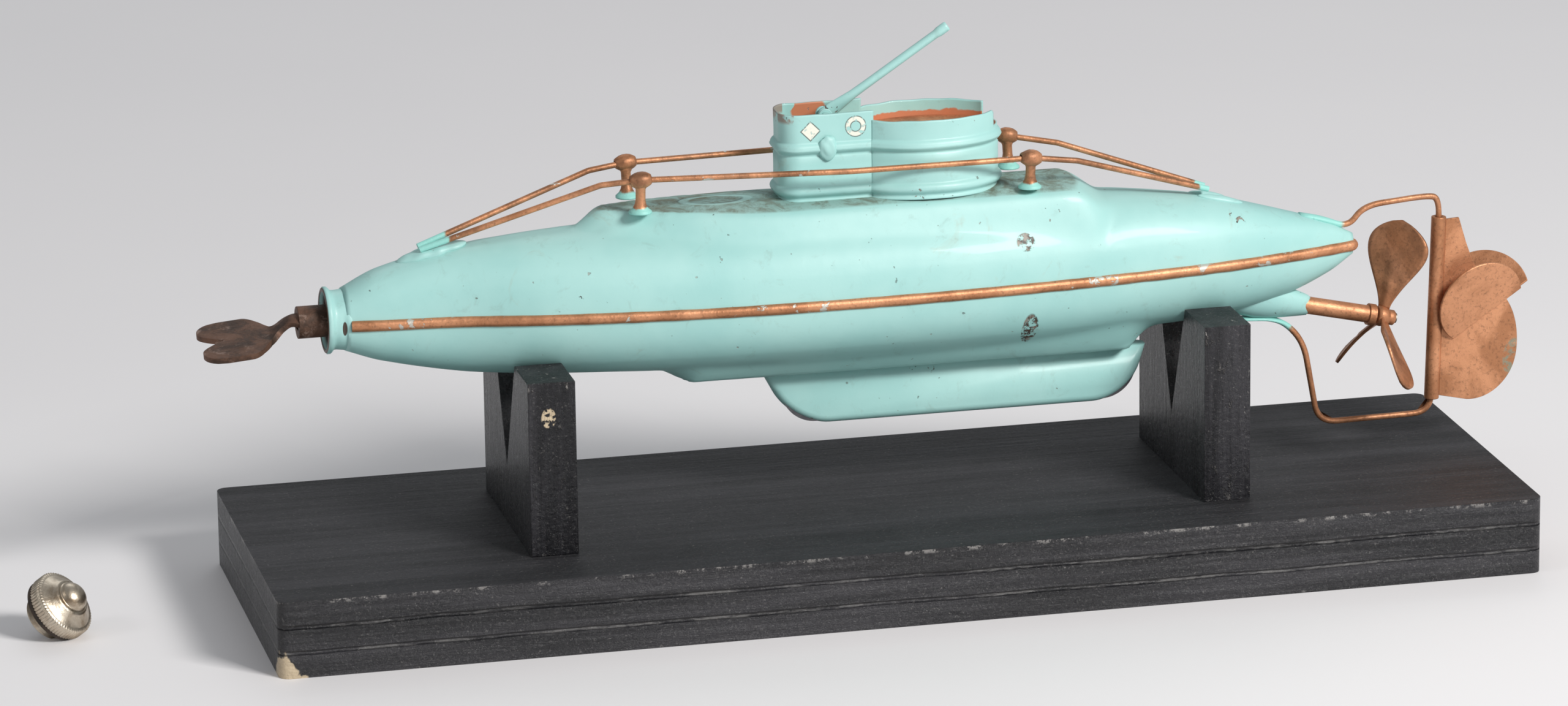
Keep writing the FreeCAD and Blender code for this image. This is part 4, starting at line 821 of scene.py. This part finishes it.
def ontoShaft(bm, turn):
    bmesh.ops.transform(bm, matrix=Matrix.Translation(hubPlace * mm) @ shaftTurn @ turn, verts=bm.verts)
    bmesh.ops.recalc_face_normals(bm, faces=bm.faces)


def makeBlades(shape):
    def blade(across, along):
        side = 2 * across - 1
        reach = shape["root"] + shape["long"] * along
        share = max(along, 0.001)
        bulge = max(math.sin(math.pi * share ** 1.9), 0) ** 0.72 if along < 1 else 0
        half = 1.4 * (1 - along) ** 2 + 0.5 * shape["wide"] * bulge
        chord = side * half
        rib = 0.45 * math.exp(-(chord / 1.1) ** 2) * smoothStep((0.70 - along) / 0.15)
        cup = 0.9 * (side * bulge) ** 2
        pitch = math.radians(shape["pitch"]) + 0.22 * (0.6 - along)
        axial = chord * math.sin(pitch) - (rib - cup) * math.cos(pitch)
        around = -chord * math.cos(pitch) - (rib - cup) * math.sin(pitch)
        return axial, around, reach

    for number in range(3):
        bm = formGrid(14, 30, blade)
        bmesh.ops.solidify(bm, geom=bm.faces[:], thickness=shape["thick"] * mm)
        turn = Matrix.Rotation(math.radians(120 * number - shape["turn"]), 4, "X")
        ontoShaft(bm, turn)
        replaced = ("propeller_blades",) if number == 0 else ()
        finishPiece("propellerBlade%d" % (number + 1), bm, "copperDark", "propeller", replaced)


makeBlades(bladeShape)


def makeHub():
    profile = [(1.22, -1.5), (1.9, -1.5), (2.35, -1.2), (2.45, -0.4), (2.3, 0.6), (2.0, 1.3), (1.75, 1.5),
               (1.8, 1.7), (1.8, 2.7), (1.5, 3.0), (1.2, 3.1), (1.15, 3.3), (0.9, 3.4), (0.0, 3.4)]
    bm = spun(profile, 32)
    ontoShaft(bm, alongShaft)
    finishPiece("propellerBoss", bm, "copperDark", "propeller", ("propeller_hub", "propeller_nut"))


makeHub()


def hullTop(x):
    return hullShape["seam"] + hullSection(x)[1]


# each drop: x, y, half length, half width, half height, slope
solderShape = {"rail": ((-103.2, 0, 8.4, 2.9, 1.5, -13.0), (80.6, 1.4, 4.6, 1.5, 0.9, 11.0),
                        (83.0, -1.4, 5.6, 1.5, 0.9, 13.0)),
               "keel": ((-20.5, 0, 2.6, 2.9, 1.0, 0), (50.5, 0, 3.6, 3.0, 1.2, 0)), "finTop": 49.3}


def makeLump(name, place, size, replaced):
    # a worn, uneven drop of solder lying along the hull
    long, wide, tall, slope = size
    bm = bmesh.new()
    bmesh.ops.create_icosphere(bm, subdivisions=4, radius=1)
    turn = Matrix.Rotation(math.radians(slope), 3, "Y")
    for vert in bm.verts:
        rough = 1 + 0.20 * steady(vert.co.x * long, vert.co.y * wide, vert.co.z * tall + place[0], 2.4)
        shape = Vector((vert.co.x * long, vert.co.y * wide * rough, vert.co.z * tall * rough))
        vert.co = (turn @ shape + Vector(place)) * mm
    finishPiece(name, bm, "tealWorn", "hull", replaced)


def makeSolder(shape):
    for part in ("rail", "keel"):
        for number, (x, y, *size) in enumerate(shape[part]):
            z = hullTop(x) - 0.1 if part == "rail" else shape["finTop"]
            replaced = (part + "_solder",) if number == 0 else ()
            makeLump("%sSolder%d" % (part, number + 1), (x, y, z), size, replaced)


makeSolder(solderShape)


def makeTubeFillet():
    # the solder cone that carries the stern tube out of the hull
    profile = [(0.0, -46.0), (2.0, -44.0), (3.8, -40.0), (4.6, -36.0), (4.8, -32.0), (4.5, -28.5),
               (3.9, -25.5), (3.3, -22.8), (2.8, -20.6), (2.45, -19.3), (2.12, -18.8)]
    bm = spun(profile, 48)
    for vert in bm.verts:
        x, y, z = vert.co / mm
        vert.co *= 1 + 0.05 * steady(x, y, z, 3)
        vert.co.y *= 0.78
    ontoShaft(bm, alongShaft)
    piece = finishPiece("tubeSolder", bm, "tealWorn", "hull", ("stern_tube_solder",))
    addWall(piece, 0.4)


makeTubeFillet()


# ---- bent wires

def softCorners(corners, reach):
    # the corners as they are, with each inner one rounded by a short curve
    points = [corners[0]]
    for before, corner, after in zip(corners, corners[1:], corners[2:]):
        into = min(reach, (corner - before).length * 0.48)
        out = min(reach, (after - corner).length * 0.48)
        start = corner + (before - corner).normalized() * into
        stop = corner + (after - corner).normalized() * out
        for step in range(9):
            share = step / 8
            points.append(start * (1 - share) ** 2 + corner * 2 * share * (1 - share) + stop * share ** 2)
    points.append(corners[-1])
    return points


def makeWire(name, corners, radius, reach, paint, node, widen):
    points = softCorners([Vector(corner) for corner in corners], reach)
    runs = []
    for start, stop in zip(points, points[1:]):
        pieces = max(int((stop - start).length / 2.5), 1)
        runs += [start.lerp(stop, step / pieces) for step in range(pieces)]
    runs.append(points[-1])
    rows = len(runs) - 1

    def ring(around, along):
        index = rowAt(along, rows)
        here = runs[index]
        ahead = (runs[min(index + 1, rows)] - runs[max(index - 1, 0)]).normalized()
        side = Vector((0, 1, 0))
        above = side.cross(ahead).normalized()
        wide, tall = widen(here.x)
        angle = around * 2 * math.pi
        worn = 1 + 0.05 * steady(here.x, here.y + around, here.z, 3)
        offset = side * math.cos(angle) * radius * wide + above * math.sin(angle) * radius * tall
        return here + offset * worn

    bm = formGrid(12, rows, ring)
    bmesh.ops.holes_fill(bm, edges=[edge for edge in bm.edges if edge.is_boundary], sides=0)
    bmesh.ops.recalc_face_normals(bm, faces=bm.faces)
    finishPiece(name, bm, paint, "hull", (node,))


wireShape = {"radius": 0.72, "bend": 4.6,
             "upper": ((102.6, -0.3, hullTop(102.6) - 0.35), (108.0, 0, hullTop(108.0) + 0.25),
                       (114.6, 0, 73.6), (118.4, 0, 78.6), (133.6, 0, 79.9), (136.95, 0, 79.3),
                       (136.75, 0, 68.0)),
             "lower": ((86.5, 0, 53.6), (98.0, 0, 52.9), (103.9, 0, 46.9), (107.6, 0, 26.6),
                       (135.45, 0, 27.0), (135.75, 0, 38.0))}


def tailWide(x):
    # the upper wire lies flattened along the hull
    return 1 + 0.9 * smoothStep((112 - x) / 4), 1.0


def tabWide(x):
    # the forward end of the lower wire is beaten flat
    share = 1 - smoothStep((x - 96) / 5)
    return 1 + 1.7 * share, 1 - 0.25 * share


makeWire("upperWire", wireShape["upper"], wireShape["radius"], wireShape["bend"], "copperTail",
         "rudder_wire_upper", tailWide)
makeWire("lowerWire", wireShape["lower"], wireShape["radius"], wireShape["bend"], "copperTab",
         "rudder_wire_lower", tabWide)


# ---- hand rail posts

stanchionShape = {"foot": 2.7, "post": 1.15, "sleeve": 1.75, "sleeveHalf": 2.5, "lean": 1.2, "headDrop": 1.9,
                  "yaw": 4}


def makeStanchion(end, side, rail):
    low, high = [Vector(corner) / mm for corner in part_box("stanchion_%s_%s" % (end, side))]
    sign = 1 if side == "left" else -1
    x = (low.x + high.x) / 2
    foot, post = stanchionShape["foot"], stanchionShape["post"]
    footY = high.y - foot if sign < 0 else low.y + foot
    topY = footY + sign * stanchionShape["lean"]
    deck, railZ = low.z, high.z - stanchionShape["headDrop"]
    tall = railZ - deck
    profile = [(0, 0), (foot, 0), (foot, 0.35), (foot - 0.5, 0.8), (post + 0.7, 1.1), (post + 0.15, 2.0),
               (post, 3.2), (post, tall - 2.2), (post + 0.35, tall - 1.3), (post + 0.3, tall)]
    bm = spun(profile, 28)
    for vert in bm.verts:
        share = vert.co.z / mm / tall
        vert.co.x += 0.12 * steady(vert.co.x / mm, vert.co.y / mm, vert.co.z / mm, 1.5) * mm
        vert.co += Vector((x, footY + (topY - footY) * share, deck)) * mm
    finishPiece("railPost_%s_%s" % (end, side), bm, "copperPost", "hull",
                ("stanchion_%s_%s" % (end, side),))
    wide, half = stanchionShape["sleeve"], stanchionShape["sleeveHalf"]
    sleeve = spun([(0.75, -half), (1.15, -half + 0.1), (1.45, -half + 0.6), (wide, -1.3), (wide + 0.2, -0.5),
                   (wide + 0.2, 0.5), (wide, 1.3), (1.45, half - 0.6), (1.15, half - 0.1), (0.75, half)], 24)
    for vert in sleeve.verts:
        vert.co *= 1 + 0.06 * steady(vert.co.x / mm, vert.co.y / mm, vert.co.z / mm + x, 2)
    lean = Matrix.Rotation(math.radians(90 - rail), 4, "Y")
    yaw = Matrix.Rotation(math.radians(sign * stanchionShape["yaw"] * (1 if end == "front" else -1)), 4, "Z")
    bmesh.ops.transform(sleeve, matrix=Matrix.Translation(Vector((x, topY, railZ)) * mm) @ yaw @ lean,
                        verts=sleeve.verts)
    finishPiece("railSleeve_%s_%s" % (end, side), sleeve, "copperPost", "hull")


for end, rail in (("front", 4), ("rear", -6)):
    for side in ("left", "right"):
        makeStanchion(end, side, rail)
print("deck fittings made")


# ---- periscope

mastShape = {"pivot": (-11.1, 0, 109.5), "long": 34.85, "lean": 33.0, "radius": 0.98, "bore": 0.6,
             "flat": 1.6}


def makeMast(shape):
    # rows of (distance up the tube, half height, half width), out along it and back down the bore
    radius, long, bore = shape["radius"], shape["long"], shape["bore"]
    rows = [(-1.5, 0.05, 0.05), (-1.4, 0.7, 0.5), (-0.8, 1.35, 0.55), (0, shape["flat"], 0.6),
            (3, shape["flat"], 0.6), (5, 1.35, 0.75), (8, radius * 1.08, 0.92), (12, radius, radius),
            (18, radius * 0.99, radius), (24, radius, radius * 0.98), (long - 3.2, radius, radius),
            (long - 2.4, radius * 1.18, radius * 1.1), (long - 0.5, radius * 1.2, radius * 1.1),
            (long, radius * 1.12, radius * 1.05), (long, bore, bore), (long - 2.0, bore, bore),
            (long - 2.01, 0.02, 0.02)]
    lean = math.radians(shape["lean"])
    along = Vector((math.cos(lean), 0, math.sin(lean)))
    above = Vector((-math.sin(lean), 0, math.cos(lean)))
    pivot = Vector(shape["pivot"])

    def ring(around, share):
        reach, tall, wide = rows[rowAt(share, len(rows) - 1)]
        angle = around * 2 * math.pi
        worn = 1 + 0.05 * steady(reach, math.cos(angle), math.sin(angle), 2)
        return (pivot + along * reach + above * (tall * math.sin(angle) * worn)
                + Vector((0, wide * math.cos(angle) * worn, 0)))

    bm = formGrid(28, len(rows) - 1, ring)
    finishPiece("mastTube", bm, "tealChipped", "periscope", ("periscope",))


makeMast(mastShape)


# ---- key

keyShape = {"front": -134.5, "reach": 22.3, "half": 9.4, "neck": 2.5, "drop": 2.0, "droop": 1.9, "rise": 3.4,
            "notch": 5.6, "thick": 1.3, "roll": 0.17}


def makeKeyPlate(shape):
    front, reach, half = shape["front"], shape["reach"], shape["half"]

    def width(share):
        # half width from the tube (0) to the far end of the lobes (1)
        if share < 0.18:
            return 3.3 + (shape["neck"] - 3.3) * smoothStep(share / 0.12)
        swell = smoothStep((share - 0.16) / 0.36)
        return shape["neck"] + (half - shape["neck"]) * swell

    def plate(across, along):
        side = 2 * across - 1
        lobe = abs(side)
        if lobe < 0.55:
            tip = shape["notch"] * (1 - math.sin(lobe / 0.55 * math.pi / 2))
        else:
            tip = 5.2 * (1 - math.sqrt(max(1 - ((lobe - 0.55) / 0.45) ** 2, 0)))
        far = front - reach + tip
        x = far + (front + 0.4 - far) * along
        share = (front - x) / reach
        y = side * width(max(share, 0))
        z = -shape["drop"] - shape["droop"] * share + shape["rise"] * smoothStep((0.30 - share) / 0.28)
        z -= y * y / 8.5 * smoothStep((0.20 - share) / 0.2)
        z += shape["roll"] * y * smoothStep((share - 0.15) / 0.25)
        z += 0.25 * math.exp(-((x - front + reach * 0.6) ** 2 + (y + half * 0.5) ** 2) / 1.2)
        return x, y, hullShape["seam"] + z

    bm = formGrid(40, 48, plate)
    piece = finishPiece("keyPlate", bm, "rust", "key", ("key_plate",))
    addWall(piece, shape["thick"], 0)
    addBevel(piece, 0.42, 3, 50)


makeKeyPlate(keyShape)


# ---- nose cap

capShape = {"radius": 8.0, "band": 3.4, "cone": 2.6, "dome": 3.5, "domeTall": 2.5, "thread": 5.5,
            "teeth": 64, "grip": 0.32, "turn": -38, "tip": 52, "x": -192.0}


def makeCap(shape):
    radius, band, cone, dome = shape["radius"], shape["band"], shape["cone"], shape["dome"]
    neck = dome + 0.6
    profile = [(shape["thread"] - 0.8, -4.0), (shape["thread"] - 0.2, -4.0)]
    for turn in range(5):
        profile += [(shape["thread"], -3.7 + turn * 0.6), (shape["thread"] - 0.35, -3.4 + turn * 0.6)]
    profile += [(shape["thread"], -0.5), (shape["thread"], 0), (radius - 0.6, 0), (radius, 0.35),
                (radius, band - 0.35), (radius - 0.5, band), (radius - 1.0, band + 0.1)]
    for step in range(6):
        share = step / 5
        reach = radius - 1.2 - (radius - 1.2 - neck) * share
        profile.append((reach, band + 0.2 + (cone - 0.3) * share ** 1.15))
    profile += [(neck - 0.15, band + cone - 0.25), (dome, band + cone - 0.1)]
    for step in range(1, 9):
        angle = step / 8 * math.pi / 2
        profile.append((dome * math.cos(angle), band + cone - 0.1 + shape["domeTall"] * math.sin(angle)))
    bm = spun(profile, shape["teeth"] * 4)
    for vert in bm.verts:
        reach = math.hypot(vert.co.x, vert.co.y) / mm
        height = vert.co.z / mm
        if reach > radius - 0.1 and 0.2 < height < band - 0.2:
            angle = math.atan2(vert.co.y, vert.co.x)
            notch = shape["grip"] * (0.5 - 0.5 * math.cos(angle * shape["teeth"]))
            vert.co.x *= 1 - notch / radius
            vert.co.y *= 1 - notch / radius
    turn = (Matrix.Rotation(math.radians(shape["turn"]), 4, "Z")
            @ Matrix.Rotation(math.radians(shape["tip"]), 4, "Y"))
    bmesh.ops.transform(bm, matrix=turn, verts=bm.verts)
    bottom = min(vert.co.z for vert in bm.verts)
    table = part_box("nose_cap")[0][2]
    bmesh.ops.translate(bm, vec=Vector((shape["x"] * mm, 0, table - bottom)), verts=bm.verts)
    finishPiece("screwCap", bm, "nickel", "nose_cap", ("nose_cap",))


makeCap(capShape)


# ---- pieces that keep their CAD shape with eased edges

easedNodes = (("base_board", "board", 1.0), ("front_post", "post", 0.8), ("rear_post", "post", 0.8),
              ("key_tube", "rust", 0.6), ("rudder_plate", "copperRudder", 0.18),
              ("diving_plane_left", "copperRudder", 0.15), ("diving_plane_right", "copperRudder", 0.15),
              ("rudder_tube", "copper", 0.2), ("mast_bracket", "tealWorn", 0.15))
for node, paint, bevel in easedNodes:
    copyNode(node, paint, bevel)

slotPaint = {"black_wood": "post", "screw_steel": "steel", "teal_paint": "tealWorn",
             "copper_paint": "copperRail", "rusty_steel": "rust", "nickel_plate": "nickel",
             "leather": "leather", "lead": "lead", "movement_brass": "brass", "spring_steel": "blued",
             "shaft_steel": "shaft"}
nodePaint = {"stern_tube": "copper", "tower_floor": "copper", "mast_rivet": "tealWorn"}


def paintNodes():
    for row in frame["record"]["subparts"]:
        item = frame["nodes"][row["node"]]
        item.data.materials.clear()
        item.data.materials.append(paints[nodePaint.get(row["node"], slotPaint[row["material_slot"]])])


paintNodes()
print("finishes assigned")


# ---- floor and light

def makeStage():
    mesh = bpy.data.meshes.new("floor")
    bm = bmesh.new()
    bmesh.ops.create_grid(bm, x_segments=1, y_segments=1, size=4)
    bm.to_mesh(mesh)
    floor = bpy.data.objects.new("floor", mesh)
    bpy.context.collection.objects.link(floor)
    material, place = startPaint("paleFloor")
    tint = place.noise(6, 3.0).mix((0.86, 0.845, 0.86, 1), (0.90, 0.885, 0.895, 1))
    mesh.materials.append(finishPaint(material, place, tint, 0.65))


def makeLight(name, place, aim, width, power, colour):
    data = bpy.data.lights.new(name, "AREA")
    data.shape = "RECTANGLE"
    data.size = width
    data.size_y = width * 0.7
    data.energy = power
    data.color = colour
    lamp = bpy.data.objects.new(name, data)
    bpy.context.collection.objects.link(lamp)
    lamp.location = place
    lamp.rotation_euler = (Vector(aim) - Vector(place)).to_track_quat("-Z", "Y").to_euler()


def makeWorld(look):
    world = bpy.context.scene.world or bpy.data.worlds.new("world")
    bpy.context.scene.world = world
    world.use_nodes = True
    background = world.node_tree.nodes["Background"]
    background.inputs[0].default_value = look["sky"]
    background.inputs[1].default_value = look["strength"]


# each light: name, place, width, power, colour
lightLook = {"aim": (0, 0, 0.06), "sky": (0.90, 0.92, 0.95, 1), "strength": 0.30,
             "lights": (("keyLight", (0.75, -1.15, 1.0), 0.5, 26.5, (1.0, 0.985, 0.96)),
                        ("sideLight", (-1.25, -0.35, 0.85), 0.4, 1.6, (1.0, 0.98, 0.95)),
                        ("backLight", (0.2, 1.3, 1.4), 1.2, 4, (0.95, 0.98, 1.0)))}
makeStage()
bpy.context.scene.view_settings.view_transform = "Standard"
for name, place, width, power, colour in lightLook["lights"]:
    makeLight(name, place, lightLook["aim"], width, power, colour)
makeWorld(lightLook)
print("stage lit")
